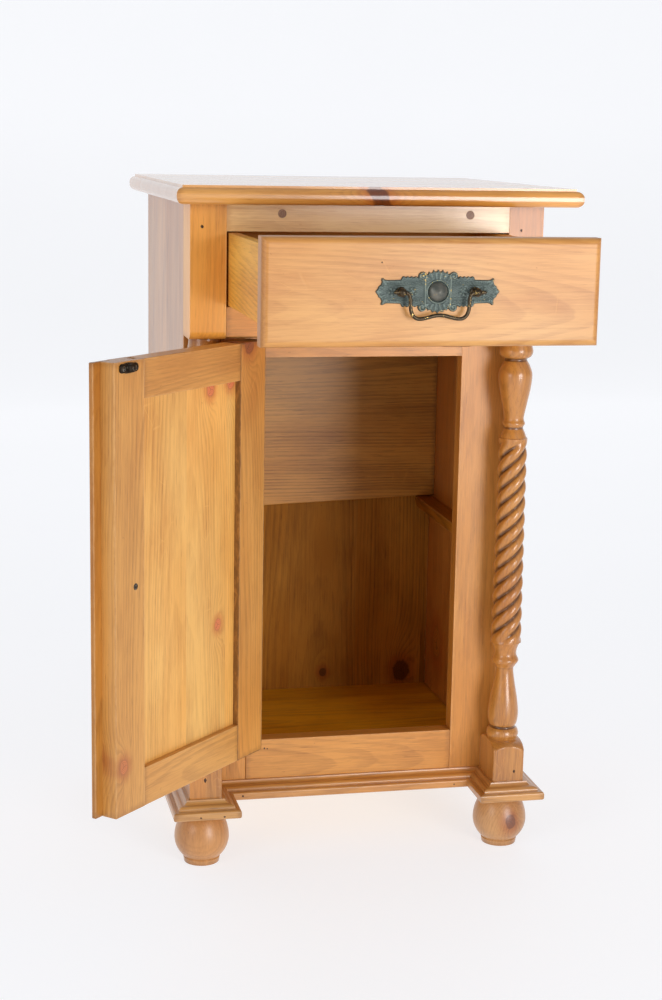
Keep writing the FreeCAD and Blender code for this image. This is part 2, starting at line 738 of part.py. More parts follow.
def make_plinth():
    """Seven mouldings round the front and sides, broken forward under the columns."""
    wide, block, front = d.half_width, d.block_width, d.block_front
    inner = wide - block
    step = d.recess - front
    side = d.carcass_back - front
    make_moulding("plinth_side_left", -wide, d.carcass_back, -90, side, 0, 1)
    make_moulding("plinth_block_left", -wide, front, 0, block, 1, 1)
    make_moulding("plinth_return_left", -inner, front, 90, step, 1, -1)
    make_moulding("plinth_front", -inner, d.recess, 0, 2 * inner, -1, -1)
    make_moulding("plinth_return_right", inner, d.recess, -90, step, -1, 1)
    make_moulding("plinth_block_right", inner, front, 0, block, 1, 1)
    make_moulding("plinth_side_right", wide, front, 90, side, 1, 0)


def make_feet():
    """Four turned bun feet on small base rings."""
    wide, top = d.foot_radius, d.carcass_base
    base, ring, groove_in, collar = wide * 0.64, wide * 0.67, wide * 0.645, wide * 0.68
    ring_top, groove_at, bun_foot = top * 0.085, top * 0.1, top * 0.115
    middle, shoulder = top * 0.45, top * 0.88
    points = [(0, 0), (base, 0), (ring, ring_top), (groove_in, groove_at), (ring, bun_foot),
              (wide, middle, wide * 0.98), (wide * 0.72, shoulder, wide * 1.54), (collar, top), (0, top)]
    for name, x in (("left", -d.column_x), ("right", d.column_x)):
        keep(turned(CARCASS, x, d.column_y, 0, points), f"foot_front_{name}")
        keep(turned(CARCASS, x, d.foot_back, 0, points), f"foot_rear_{name}")


# --- drawer --------------------------------------------------------------------------------

def make_drawer_front(tool):
    """The overlay front, rounded all round its face and drilled for the pull."""
    body = new_body(DRAWER, 0, 0, d.front_base)
    half = d.front_half
    profile = rectangle(sketch(body, "XY_Plane"), (-half, half), (-d.front_thick, 0))
    pad(body, profile, d.front_top - d.front_base)
    round_edges(body, d.front_round, lambda point: near(point.y, -d.front_thick))
    keep(cut(body, tool), "drawer_front")


def make_drawer_box():
    """Two sides, a back and a bottom that is let into grooves."""
    half, inner = d.box_half, d.box_half - d.box_thick
    low = d.box_base + d.tray_lift
    tray = box(DRAWER, (-inner - d.groove_deep, inner + d.groove_deep), (0, d.box_long),
               (low, low + d.tray_thick))
    keep(tray, "drawer_bottom")
    for name, pair in (("left", (-half, -inner)), ("right", (inner, half))):
        side = box(DRAWER, pair, (0, d.box_long), (d.box_base, d.box_top))
        keep(cut(side, tray), f"drawer_side_{name}")
    board("drawer_back", DRAWER, (-inner, inner), (d.box_long - d.box_thick, d.box_long),
          (low + d.tray_thick, d.box_top))


def plate_outline():
    """Half the plate's edge, from the top middle to the bottom middle, X to the right."""
    half, curl = d.plate_half, -3.2
    upper = [(0, 21.5), (11, 19), (12.5, 16.5), (17.5, 19, curl), (20.5, 15), (36, 14.5),
             (37, 11.5), (half - 8, 11), (half - 5, 5)]
    lower = [(half - 5, -5), (half - 8, -11), (37, -11.5), (36, -14.5), (20.5, -15),
             (17.5, -19, curl), (12.5, -16.5), (11, -19), (0, -22.5)]
    return upper + [(half, 0)] + lower


def make_pull():
    """The cast plate with its boss, the two eye bolts, their nuts, and the bail."""
    face = -d.front_thick
    body = new_body(DRAWER, d.pull_x, face, d.pull_z)
    right = plate_outline()
    left = [(-1 * Dim.of(p[0]), p[1]) + tuple(p[2:]) for p in reversed(right[1:-1])]
    edge = sketch(body, "XZ_Plane")
    outline(edge, mirrored_outline(right, left))
    pad(body, edge, d.plate_thick)
    eyes = [d.pull_x - d.eye_half, d.pull_x + d.eye_half]
    dome = dome_boss(face)
    shanks = [rod(DRAWER, x, face - d.plate_thick, d.pull_z, d.shank_radius,
                  d.plate_thick + d.front_thick + d.nut_thick + 2, ALONG_Y) for x in eyes]
    stems = [cone(DRAWER, x, face - d.eye_out, d.pull_z, d.eye_radius * 0.62, d.eye_radius * 0.9,
                  d.eye_out - d.plate_thick, ALONG_Y) for x in eyes]
    holes = fuse(shanks)
    keep(cut(fuse([body, dome]), holes), "pull_plate")
    make_drawer_front(holes)
    bolts = [eye_bolt(x, face, shank, stem) for x, shank, stem in zip(eyes, shanks, stems)]
    keep(group(bolts), "pull_eye_bolts")
    nuts = [cut(hex_nut(x), shank) for x, shank in zip(eyes, shanks)]
    keep(group(nuts), "pull_nuts")


def mirrored_outline(right, left):
    """Joins the right half and its mirror, going clockwise; arcs on the left move one point on."""
    points = list(right)
    radius = None
    for point in left:
        points.append(point[:2] + ((radius,) if radius is not None else ()))
        radius = point[2] if len(point) == 3 else None
    return points


def dome_boss(face):
    """A domed boss in the middle of the plate."""
    dome = doc.addObject("Part::Sphere", "dome")
    radius = (d.boss_radius * d.boss_radius + d.boss_height * d.boss_height) / (2 * d.boss_height)
    bind(dome, "Radius", radius)
    centre = face - d.boss_height + radius
    place(dome, DRAWER, d.pull_x, centre, d.pull_z)
    reach = d.boss_radius + 2
    front = box(DRAWER, (d.pull_x - reach, d.pull_x + reach), (face - d.boss_height - 1, face),
                (d.pull_z - reach, d.pull_z + reach))
    item = doc.addObject("Part::Common", "boss")
    item.Base = dome
    item.Tool = front
    return item


def eye_bolt(x, face, shank, stem):
    """A ball with a cross hole, on a threaded shank."""
    ball = doc.addObject("Part::Sphere", "ball")
    bind(ball, "Radius", d.eye_radius)
    place(ball, DRAWER, x, face - d.eye_out, d.pull_z)
    hole = rod(DRAWER, x - d.eye_radius - 1, face - d.eye_out, d.pull_z, d.eye_hole,
               2 * d.eye_radius + 2, ALONG_X)
    return cut(fuse([ball, stem, shank]), hole)


def hex_nut(x):
    nut = doc.addObject("Part::Prism", "nut")
    nut.Polygon = 6
    bind(nut, "Circumradius", d.nut_radius)
    bind(nut, "Height", d.nut_thick)
    place(nut, DRAWER, x, 0, d.pull_z, ALONG_Y)
    return nut


def bail_path():
    """The bail's middle line: straight runs joined by tangent arcs, hanging from the eyes."""
    end, leg, drop = d.bail_end.value, d.bail_leg.value, d.bail_drop.value
    rise, bend, corner = d.bail_arch.value, d.bail_bend.value, d.bail_corner.value
    corners = [(-end, 0, 0), (-leg, 0, bend), (-leg, -drop, corner), (0, rise - drop, d.bail_sweep.value),
               (leg, -drop, corner), (leg, 0, bend), (end, 0, 0)]
    edges, last = [], Vector(corners[0][0], 0, corners[0][1])
    for before, here, after in zip(corners, corners[1:], corners[2:]):
        point = Vector(here[0], 0, here[1])
        back = (Vector(before[0], 0, before[1]) - point).normalize()
        ahead = (Vector(after[0], 0, after[1]) - point).normalize()
        half = back.getAngle(ahead) / 2
        reach = here[2] / math.tan(half)
        start, stop = point + back * reach, point + ahead * reach
        centre = point + (back + ahead).normalize() * (here[2] / math.sin(half))
        middle = centre + (point - centre).normalize() * here[2]
        edges.append(Part.LineSegment(last, start).toShape())
        edges.append(Part.Arc(start, middle, stop).toShape())
        last = stop
    edges.append(Part.LineSegment(last, Vector(end, 0, 0)).toShape())
    return Part.Wire(edges)


def make_bail():
    path = bail_path()
    start = Vector(-d.bail_end.value, 0, 0)
    ring = Part.Wire(Part.Circle(start, Vector(1, 0, 0), d.wire_radius.value).toShape())
    item = doc.addObject("Part::Feature", "bail")
    item.Shape = path.makePipeShell([ring], True, False)
    place(item, DRAWER, d.pull_x, -d.front_thick - d.eye_out, d.pull_z)
    keep(item, "pull_bail")


# --- door ----------------------------------------------------------------------------------

def door_box(s, t, z):
    return box(DOOR, s, t, z)


def groove(s, z):
    """The slot in the door frame that holds the panel."""
    inner = d.door_face + d.door_thick - d.panel_set
    return door_box(s, (inner - d.panel_thick, inner), z)


def make_door_frame(hinge_screws, knob_bolt):
    """Two stiles and two rails, grooved for the panel; the lock stile takes the closing strip."""
    thick = (d.door_face, d.door_face + d.door_thick)
    tall = (d.door_base, d.door_top)
    left, right = d.door_gap + d.door_stile, d.door_long - d.door_stile
    deep = d.door_groove
    hinge_stile = cut(door_box((d.door_gap, left), thick, tall), groove((left - deep, left), tall))
    keep(cut(hinge_stile, hinge_screws), "door_stile_hinge")
    strip = (d.door_long - d.strip_lap, d.door_long + d.strip_reach)
    skin = (d.door_face, d.door_face + d.strip_thick)
    lock_stile = cut(door_box((right, d.door_long), thick, tall), groove((right, right + deep), tall))
    keep(cut(cut(lock_stile, door_box(strip, skin, tall)), knob_bolt), "door_stile_lock")
    board("door_closing_strip", DOOR, strip, skin, tall)
    head, foot = d.door_top - d.door_head, d.door_base + d.door_foot
    keep(cut(door_box((left, right), thick, (head, d.door_top)),
             groove((left, right), (head, head + deep))), "door_rail_top")
    keep(cut(door_box((left, right), thick, (d.door_base, foot)),
             groove((left, right), (foot - deep, foot))), "door_rail_bottom")
    play = 1
    keep(groove((left - deep + play, right + deep - play), (foot - deep + play, head + deep - play)),
         "door_panel")


def hinge_screw(frame, s, t, z, sign):
    """A countersunk screw that lies along S; sign gives the way its point goes."""
    spin = ALONG_X if sign > 0 else Rotation(Vector(0, 1, 0), -90)
    start = s - sign * d.leaf_thick
    head = cone(frame, start, t, z, d.screw_head, d.screw_radius, d.leaf_thick, spin)
    shank = rod(frame, s, t, z, d.screw_radius, d.screw_long, spin)
    return fuse([head, shank])


def hinge_levels():
    return (d.hinge_low, d.hinge_high)


def hinge_screw_set(frame, sign):
    """The screws of both leaves on one side of the hinge line."""
    edge = sign * d.door_gap
    across = (d.door_face + d.hinge_wide) / 2
    stagger = {step: 2 if step else -3 for step in HINGE_STEPS}
    return [hinge_screw(frame, edge, across + stagger[step], level + step, sign)
            for level in hinge_levels() for step in HINGE_STEPS]


def make_leaves(label, frame, sign, screws):
    """Both leaves on one side: the post's have two outer knuckles, the door's have the middle one."""
    bore = d.pin_radius + d.pin_play
    tall, middle = d.hinge_tall / 2, d.knuckle_tall / 2
    edge = sign * d.door_gap
    plate = sorted((edge, edge - sign * d.leaf_thick), key=lambda side: side.value)
    spans = [(-middle, middle)] if sign > 0 else [(-tall, -middle - d.knuckle_gap),
                                                  (middle + d.knuckle_gap, tall)]
    leaves = []
    for level in hinge_levels():
        pieces = [box(frame, plate, (d.door_face, d.hinge_wide), (level - tall, level + tall))]
        for low, high in spans:
            pieces.append(rod(frame, 0, 0, level + low, d.knuckle_radius, high - low))
            pieces.append(box(frame, plate, (0, d.door_face), (level + low, level + high)))
        hole = rod(frame, 0, 0, level - tall - 1, bore, 2 * tall + 2)
        leaves.append(cut(cut(fuse(pieces), hole), screws))
    keep(group(leaves), label)


def make_hinges():
    """Two butt hinges: leaves, pins and screws, and the strip that the door hangs on."""
    post_screws = hinge_screw_set(HINGE_POST, -1)
    keep(group(post_screws), "hinge_screws_post")
    make_leaves("hinge_leaves_post", HINGE_POST, -1, fuse(post_screws))
    left = d.hang_strip_left - d.hinge_x
    strip = box(HINGE_POST, (left, -d.door_gap), (d.door_face, d.recess - d.hinge_y),
                (d.door_base + 4, d.upper_base))
    keep(cut(strip, fuse(post_screws)), "hanging_strip")
    pins, tip = [], 1.5
    for level in hinge_levels():
        low = level - d.hinge_tall / 2
        pin = rod(HINGE_POST, 0, 0, low - tip, d.pin_radius, d.hinge_tall + 2 * tip)
        tips = [rod(HINGE_POST, 0, 0, z, d.knuckle_radius * 0.8, tip)
                for z in (low - tip, low + d.hinge_tall)]
        pins.append(fuse([pin] + tips))
    keep(group(pins), "hinge_pins")
    door_screws = hinge_screw_set(DOOR, 1)
    make_leaves("hinge_leaves_door", DOOR, 1, fuse(door_screws))
    return door_screws


def make_catch():
    """A screwed-on iron catch: a raised middle between two rounded ears."""
    inner = d.door_face + d.door_thick
    middle = d.door_long - d.catch_in
    level = d.door_top - d.catch_down
    radius = d.catch_tall / 2
    reach = d.catch_long / 2 - radius
    ears = [rod(DOOR, middle + side * reach, inner, level, radius, d.catch_ear, ALONG_Y)
            for side in (-1, 1)]
    bridge = door_box((middle - reach, middle + reach), (inner, inner + d.catch_high),
                      (level - radius * 0.72, level + radius * 0.95))
    keep(fuse(ears + [bridge]), "door_catch")


def make_knob():
    """A turned knob on the outside of the lock stile, held by a screw from inside."""
    s, z = d.door_long - d.knob_in, d.knob_height
    inner = d.door_face + d.door_thick
    toward = Rotation(Vector(1, 0, 0), 90)
    head = cone(DOOR, s, inner, z, d.knob_screw_head, d.knob_screw, 2.4, toward)
    shank = rod(DOOR, s, inner, z, d.knob_screw, d.door_thick + 12, toward)
    screw = fuse([head, shank])
    radius, out = d.knob_radius, d.knob_out
    points = [(0, 0), (radius * 0.72, 0), (radius * 0.74, out * 0.10), (radius * 0.48, out * 0.32, -8),
              (radius, out * 0.66, -14), (radius * 0.55, out * 0.94, 10),
              (radius * 0.06, out, 22), (0, out)]
    keep(cut(turned(DOOR, s, d.door_face, z, points, toward), screw), "door_knob")
    return screw


def make_door():
    door_screws = make_hinges()
    knob_bolt = make_knob()
    make_door_frame(fuse(door_screws), knob_bolt)
    keep(group(door_screws + [knob_bolt]), "door_screws")
    make_catch()


# --- the whole cabinet ---------------------------------------------------------------------

def check_and_export():
    """Stops on any failed feature or bad shape, then writes one file for each piece."""
    doc.recompute()
    for item in doc.Objects:
        if {"Invalid", "Error"} & set(item.State):
            raise RuntimeError(f"{item.Name} ({item.Label}) failed: {item.State}")
    os.makedirs("parts", exist_ok=True)
    for item in PARTS:
        if item.Shape.isNull() or not item.Shape.isValid():
            raise RuntimeError(f"{item.Label} has no valid shape")
        item.Shape.exportStep(f"parts/{item.Label}.step")


make_top_board()
make_upper_stage()
make_sides_and_back()
make_backer()
make_cleats()
make_cupboard_front()
make_column("column_left", -d.column_x, -1)
make_column("column_right", d.column_x, 1)
make_plinth()
make_feet()
make_drawer_box()
make_pull()
make_bail()
make_door()
check_and_export()
print(f"{len(PARTS)} pieces written")
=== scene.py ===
# The looks of a small pine bedside cabinet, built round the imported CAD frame. Everything is in metres.
import math
import random

import bmesh
import bpy
import numpy as np
from mathutils import Matrix, Vector


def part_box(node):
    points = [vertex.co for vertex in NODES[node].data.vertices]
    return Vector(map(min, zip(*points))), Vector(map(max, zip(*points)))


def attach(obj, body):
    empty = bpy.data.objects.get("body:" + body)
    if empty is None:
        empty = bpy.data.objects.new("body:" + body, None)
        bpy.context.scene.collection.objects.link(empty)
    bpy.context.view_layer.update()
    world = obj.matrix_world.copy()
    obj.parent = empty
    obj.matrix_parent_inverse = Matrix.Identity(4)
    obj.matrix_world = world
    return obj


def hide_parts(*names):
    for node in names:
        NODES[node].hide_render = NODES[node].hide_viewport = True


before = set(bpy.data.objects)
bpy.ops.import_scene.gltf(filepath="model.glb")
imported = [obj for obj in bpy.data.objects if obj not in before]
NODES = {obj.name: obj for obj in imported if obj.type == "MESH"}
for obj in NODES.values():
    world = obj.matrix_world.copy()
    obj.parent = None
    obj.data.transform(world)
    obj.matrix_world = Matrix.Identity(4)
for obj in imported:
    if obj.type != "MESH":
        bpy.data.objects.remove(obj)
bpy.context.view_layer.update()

MM = 0.001

# ---------------------------------------------------------------- directions, colours and objects
X, Y, Z = Vector((1, 0, 0)), Vector((0, 1, 0)), Vector((0, 0, 1))
DOOR_ANGLE = math.radians(-133.8)
S = Vector((math.cos(DOOR_ANGLE), math.sin(DOOR_ANGLE), 0))  # along the open door, hinge to lock
T = Vector((-math.sin(DOOR_ANGLE), math.cos(DOOR_ANGLE), 0))  # through the door, outside to inside


def tint(red, green, blue):
    """A linear colour from 0-255 display values."""
    shares = [c / 255 for c in (red, green, blue)]
    return tuple(((c + 0.055) / 1.055) ** 2.4 if c > 10 / 255 else c / 12.92 for c in shares) + (1.0,)


def add_object(name, data):
    thing = bpy.data.objects.new(name, data)
    bpy.context.scene.collection.objects.link(thing)
    return thing


# ---------------------------------------------------------------- shader graph
class Graph:
    """Adds shader nodes to a tree; every method takes and gives sockets or plain values."""

    def __init__(self, tree):
        self.tree = tree
        tree.nodes.clear()

    def feed(self, socket, value):
        if isinstance(value, bpy.types.NodeSocket):
            self.tree.links.new(value, socket)
        else:
            socket.default_value = value

    def add(self, kind, sockets=None, **settings):
        node = self.tree.nodes.new("ShaderNode" + kind)
        for key, value in settings.items():
            setattr(node, key, value)
        for key, value in (sockets or {}).items():
            self.feed(node.inputs[key], value)
        return node

    def math(self, operation, *values, clamp=False):
        node = self.add("Math", dict(enumerate(values)), operation=operation, use_clamp=clamp)
        return node.outputs[0]

    def times(self, a, b):
        return self.math("MULTIPLY", a, b)

    def less(self, a, b):
        return self.math("SUBTRACT", a, b)

    def about(self, value, middle, gain):
        """How far a value is from a middle, times a gain."""
        return self.times(self.less(value, middle), gain)

    def total(self, first, *others):
        for other in others:
            first = self.math("ADD", first, other)
        return first

    def vector(self, operation, *values):
        node = self.add("VectorMath", dict(enumerate(values)), operation=operation)
        return node.outputs["Value" if operation in ("LENGTH", "DISTANCE", "DOT_PRODUCT") else "Vector"]

    def join(self, x, y, z):
        return self.add("CombineXYZ", {0: x, 1: y, 2: z}).outputs[0]

    def split(self, vector):
        return self.add("SeparateXYZ", {0: vector}).outputs

    def noise(self, place, detail=2.0, rough=0.5):
        node = self.add("TexNoise", {"Vector": place, "Scale": 1.0, "Detail": detail, "Roughness": rough})
        return node.outputs["Fac"]

    def pattern(self, place, pitch, detail, rough=0.5):
        """Noise at a frequency per metre, or at one for each axis."""
        pitch = pitch if isinstance(pitch, tuple) else (pitch,) * 3
        return self.noise(self.vector("MULTIPLY", place, pitch), detail, rough)

    def ramp(self, value, low, high, first=0.0, last=1.0):
        sockets = {"Value": value, "From Min": low, "From Max": high, "To Min": first, "To Max": last}
        return self.add("MapRange", sockets, interpolation_type="SMOOTHSTEP").outputs["Result"]

    def mix(self, factor, a, b, blend="MIX"):
        return self.add("Mix", {0: factor, 6: a, 7: b}, data_type="RGBA", blend_type=blend).outputs[2]

    def scale(self, colour, value):
        """The colour made lighter or darker by a factor."""
        return self.add("VectorMath", {0: colour, 3: value}, operation="SCALE").outputs["Vector"]

    def surface(self, colour, rough, sockets):
        """Ends a material with a principled shader."""
        sockets = {"Base Color": colour, "Roughness": rough, **sockets}
        self.add("OutputMaterial", {"Surface": self.add("BsdfPrincipled", sockets).outputs[0]})

    def bump(self, height, strength, distance):
        """A surface's sockets with a fine bump in them. Distance is in metres."""
        sockets = {"Height": height, "Strength": strength, "Distance": distance}
        return {"Normal": self.add("Bump", sockets).outputs[0]}


def new_material(name):
    """A material, its graph, and the place on the piece's own axes in metres."""
    material = bpy.data.materials.new(name)
    material.use_nodes = True
    graph = Graph(material.node_tree)
    return material, graph, graph.add("TexCoord").outputs["Object"]


def new_group(name, inputs, outputs):
    """A node group with its sockets, and the graph, input sockets and output sockets to build it with."""
    tree = bpy.data.node_groups.new(name, "ShaderNodeTree")
    kinds = {"f": "NodeSocketFloat", "v": "NodeSocketVector", "c": "NodeSocketColor"}
    for side, listed in (("INPUT", inputs), ("OUTPUT", outputs)):
        for label, kind in listed:
            tree.interface.new_socket(label, in_out=side, socket_type=kinds[kind])
    graph = Graph(tree)
    start = tree.nodes.new("NodeGroupInput")
    end = tree.nodes.new("NodeGroupOutput")
    return tree, graph, start.outputs[:len(inputs)], end.inputs


def use_group(graph, tree, sockets):
    node = graph.tree.nodes.new("ShaderNodeGroup")
    node.node_tree = tree
    for key, value in sockets.items():
        graph.feed(node.inputs[key], value)
    return node.outputs


# ---------------------------------------------------------------- pine
# noise frequencies, per metre, as (across and through the board, along the grain)
WANDER, RIPPLE, SLOW = (13, 2.6), (80, 9), (5, 2.2)
STREAK, DASH, FLECK = (480, 5), (800, 60), (700, 36)
STAIN, BLUSH, PLANE = (8, 3.0), (26, 8), (34, 14)
# the same for each axis: across, through and along
SCUFF, DENT, SCRATCH = (240.0, 240.0, 90.0), (150.0, 150.0, 110.0), (34.0, 34.0, 15.0)
LUMP = (140.0, 20.0, 140.0)


def make_pine_group():
    """Pine cut from a log: growth rings round a leaning pith, fibres, stain, edges paler from wear and a
    painted highlight, and a sunk border's dark band of dirt and painted shade.

    Place is local: x across the grain, y through the board, z along the grain."""
    tree, g, given, out = new_group(
        "pine",
        [("Place", "v"), ("Pith", "v"), ("Lean", "v"), ("Seed", "f"), ("Ring", "f"), ("Swell", "f"),
         ("Half", "v"), ("Stave", "f"), ("Depth", "f"), ("Gloss", "f"), ("DirtShadeBand", "f"), ("Pale", "c"),
         ("Honey", "c"), ("Dark", "c")],
        [("Color", "c"), ("Roughness", "f"), ("Height", "f")],
    )
    place, pith, lean, seed, ring, swell, half, stave, depth, gloss, dirt_shade_band, pale, honey, dark = given
    x, y, z = g.split(place)
    # staves: each glued strip comes from its own place in its own log
    strip = g.math("FLOOR", g.total(g.math("DIVIDE", x, stave), g.times(seed, 0.37)))
    pick = g.noise(g.join(g.times(strip, 3.71), seed, 0.5), detail=0.0)
    chance = g.about(pick, 0.5, 2.4)
    shift = g.join(seed, g.times(strip, 5.3), g.times(seed, 1.7))

    def stretched(pitch, detail=2.0, rough=0.5):
        across, along = pitch
        spot = g.vector("MULTIPLY", place, (across, across, along))
        return g.noise(g.vector("ADD", spot, shift), detail, rough)

    # growth rings: narrow dark late wood, uneven from year to year
    pith_x, pith_y, _ = g.split(pith)
    lean_x, lean_y, _ = g.split(lean)
    qx = g.total(g.less(g.less(x, pith_x), g.times(lean_x, z)), g.times(chance, 0.045))
    qy = g.less(g.less(y, pith_y), g.times(lean_y, z))
    wander = g.about(stretched(WANDER), 0.5, 0.016)
    ripple = g.about(stretched(RIPPLE, 3.0), 0.5, 0.0022)
    radius = g.total(g.vector("LENGTH", g.join(qx, qy, 0.0)), wander, g.total(ripple, swell))
    years = g.math("DIVIDE", radius, ring)
    uneven = g.noise(g.join(g.times(years, 0.31), seed, 0.0), 1.0)
    years = g.total(years, g.times(uneven, 1.9))
    part = g.math("FRACT", years)
    late = g.times(g.ramp(part, 0.28, 0.84), g.ramp(part, 0.9, 1.0, 1.0, 0.0))
    vigour = g.noise(g.join(g.times(years, 0.23), 4.0, seed), 2.0, 0.7)
    late = g.times(late, g.ramp(vigour, 0.3, 0.68, 0.25, 1.0))

    streak = stretched(STREAK, 4.0, 0.66)
    dash = stretched(DASH, 2.0, 0.6)
    stain = stretched(STAIN, 3.0, 0.55)
    blush = stretched(BLUSH, 2.0, 0.6)
    fleck = g.ramp(stretched(FLECK, 1.0), 0.67, 0.75)

    colour = g.mix(g.ramp(stain, 0.34, 0.66), pale, honey)
    shade = g.total(g.times(late, depth), g.about(streak, 0.44, 0.8), g.about(dash, 0.5, 0.6),
                    g.about(blush, 0.44, 0.9))
    shade = g.math("ADD", shade, g.times(fleck, 0.3), clamp=True)
    colour = g.mix(shade, colour, dark)
    rosy = g.ramp(blush, 0.48, 0.78, 0.0, 0.22)
    colour = g.mix(rosy, colour, g.mix(1.0, colour, tint(255, 226, 196), "MULTIPLY"))
    light = g.total(1.0, g.about(stretched(SLOW, 1.0), 0.5, 0.7), g.times(chance, 0.14))
    colour = g.scale(colour, light)

    # arrises: how near this point is to an edge of the board's own box
    ex, ey, ez = g.split(g.vector("SUBTRACT", half, g.vector("ABSOLUTE", place)))
    pair = g.math("MINIMUM", g.math("MAXIMUM", ey, ez), g.math("MAXIMUM", ex, ez))
    edge = g.math("MINIMUM", g.math("MAXIMUM", ex, ey), pair)
    scuff = g.pattern(place, SCUFF, 3.0, 0.65)
    # paler, duller arrises: part rubbed varnish, part a painted highlight where the coat catches the light
    # along the edges
    rubbed_and_sheen = g.ramp(g.total(edge, g.about(scuff, 0.5, 0.006)), 0.0, 0.0022, 1.0, 0.0)
    bare_and_sheen = g.mix(0.3, pale, (0.84, 0.62, 0.38, 1.0))
    colour = g.mix(g.times(rubbed_and_sheen, 0.35), colour, bare_and_sheen)
    # old wax: dark by the joints at the board's ends and in dents; along a sunk panel's border a dark band
    # that is part dirt and part painted shade of the groove
    soot = g.ramp(g.total(ez, g.times(scuff, 0.012)), 0.005, 0.014, 0.5, 0.0)
    colour = g.mix(soot, colour, dark)
    # painted shade: this band darkens a panel's edge where it sinks into the frame's groove, mixed with
    # real dirt
    border = g.less(g.total(g.math("MINIMUM", ex, ez), g.about(scuff, 0.5, 0.004)), dirt_shade_band)
    wanted = g.math("GREATER_THAN", dirt_shade_band, 0.0)
    dirt_and_groove_shade = g.times(g.ramp(border, -0.0012, 0.0012, 0.8, 0.0), wanted)
    colour = g.mix(dirt_and_groove_shade, colour, g.scale(dark, 0.4))
    dent = g.ramp(g.pattern(place, DENT, 4.0, 0.7), 0.7, 0.75)
    colour = g.mix(g.times(dent, 0.55), colour, dark)
    # fine pale scratches, in a few places only
    bent = g.vector("MULTIPLY", g.vector("ADD", place, shift), SCRATCH)
    cells = g.add("TexVoronoi", {"Vector": bent, "Scale": 1.0}, feature="DISTANCE_TO_EDGE")
    scratch = g.ramp(cells.outputs["Distance"], 0.006, 0.016, 1.0, 0.0)
    scratch = g.times(scratch, g.ramp(blush, 0.56, 0.66))
    colour = g.mix(g.times(scratch, 0.22), colour, pale)

    rough = g.total(gloss, g.about(stain, 0.5, 0.2), g.times(streak, 0.08), g.times(rubbed_and_sheen, 0.12))
    plane = g.times(stretched(PLANE, 1.0), 1.6)
    height = g.total(g.times(late, 0.25), g.times(streak, -0.5), g.times(dash, -0.25), plane)
    height = g.less(height, g.times(g.total(dent, scratch), 0.8))
    g.feed(out["Color"], colour)
    g.feed(out["Roughness"], rough)
    g.feed(out["Height"], height)
    return tree


def make_knot_group():
    """One knot whose branch runs through the board: ring swelling, the knot's mask and its own colour."""
    tree, g, given, out = new_group(
        "knot",
        [("Place", "v"), ("Centre", "v"), ("Radius", "f"), ("Heart", "c")],
        [("Swell", "f"), ("Mask", "f"), ("Halo", "f"), ("Color", "c")],
    )
    place, centre, radius, heart = given
    x, y, z = g.split(g.vector("SUBTRACT", place, centre))
    x = g.total(x, g.times(y, 0.35))
    z = g.total(z, g.times(y, 0.5))
    lump = g.pattern(place, LUMP, 2.0)
    away = g.vector("LENGTH", g.join(x, 0.0, g.times(z, 0.8)))
    away = g.times(away, g.total(0.74, g.times(lump, 0.52)))
    near = g.math("DIVIDE", away, radius)
    spread = g.vector("LENGTH", g.join(x, 0.0, g.times(z, 0.42)))
    far = g.math("DIVIDE", spread, radius)
    bump = g.math("POWER", 2.718, g.times(g.times(far, far), -0.32))
    rings = g.math("FRACT", g.times(near, 4.6))
    dark = g.times(g.ramp(rings, 0.2, 0.85), 0.55)
    colour = g.mix(dark, heart, g.scale(heart, 0.45))
    turn = g.math("ARCTAN2", z, x)
    split = g.math("SINE", g.total(g.times(turn, 1.5), g.times(lump, 3.0)))
    crack = g.ramp(g.times(g.math("ABSOLUTE", split), near), 0.015, 0.06, 1.0, 0.0)
    crack = g.times(crack, g.ramp(near, 0.6, 0.85, 1.0, 0.0))
    colour = g.mix(g.times(crack, 0.8), colour, g.scale(heart, 0.1))
    colour = g.mix(g.ramp(near, 0.75, 0.95, 0.0, 0.55), colour, g.scale(heart, 0.3))
    g.feed(out["Swell"], g.times(bump, g.times(radius, 2.1)))
    g.feed(out["Mask"], g.ramp(near, 0.8, 1.12, 0.85, 0.0))
    g.feed(out["Halo"], g.ramp(near, 0.9, 2.6, 0.55, 0.0))
    g.feed(out["Color"], colour)
    return tree


PINE = make_pine_group()
KNOT = make_knot_group()

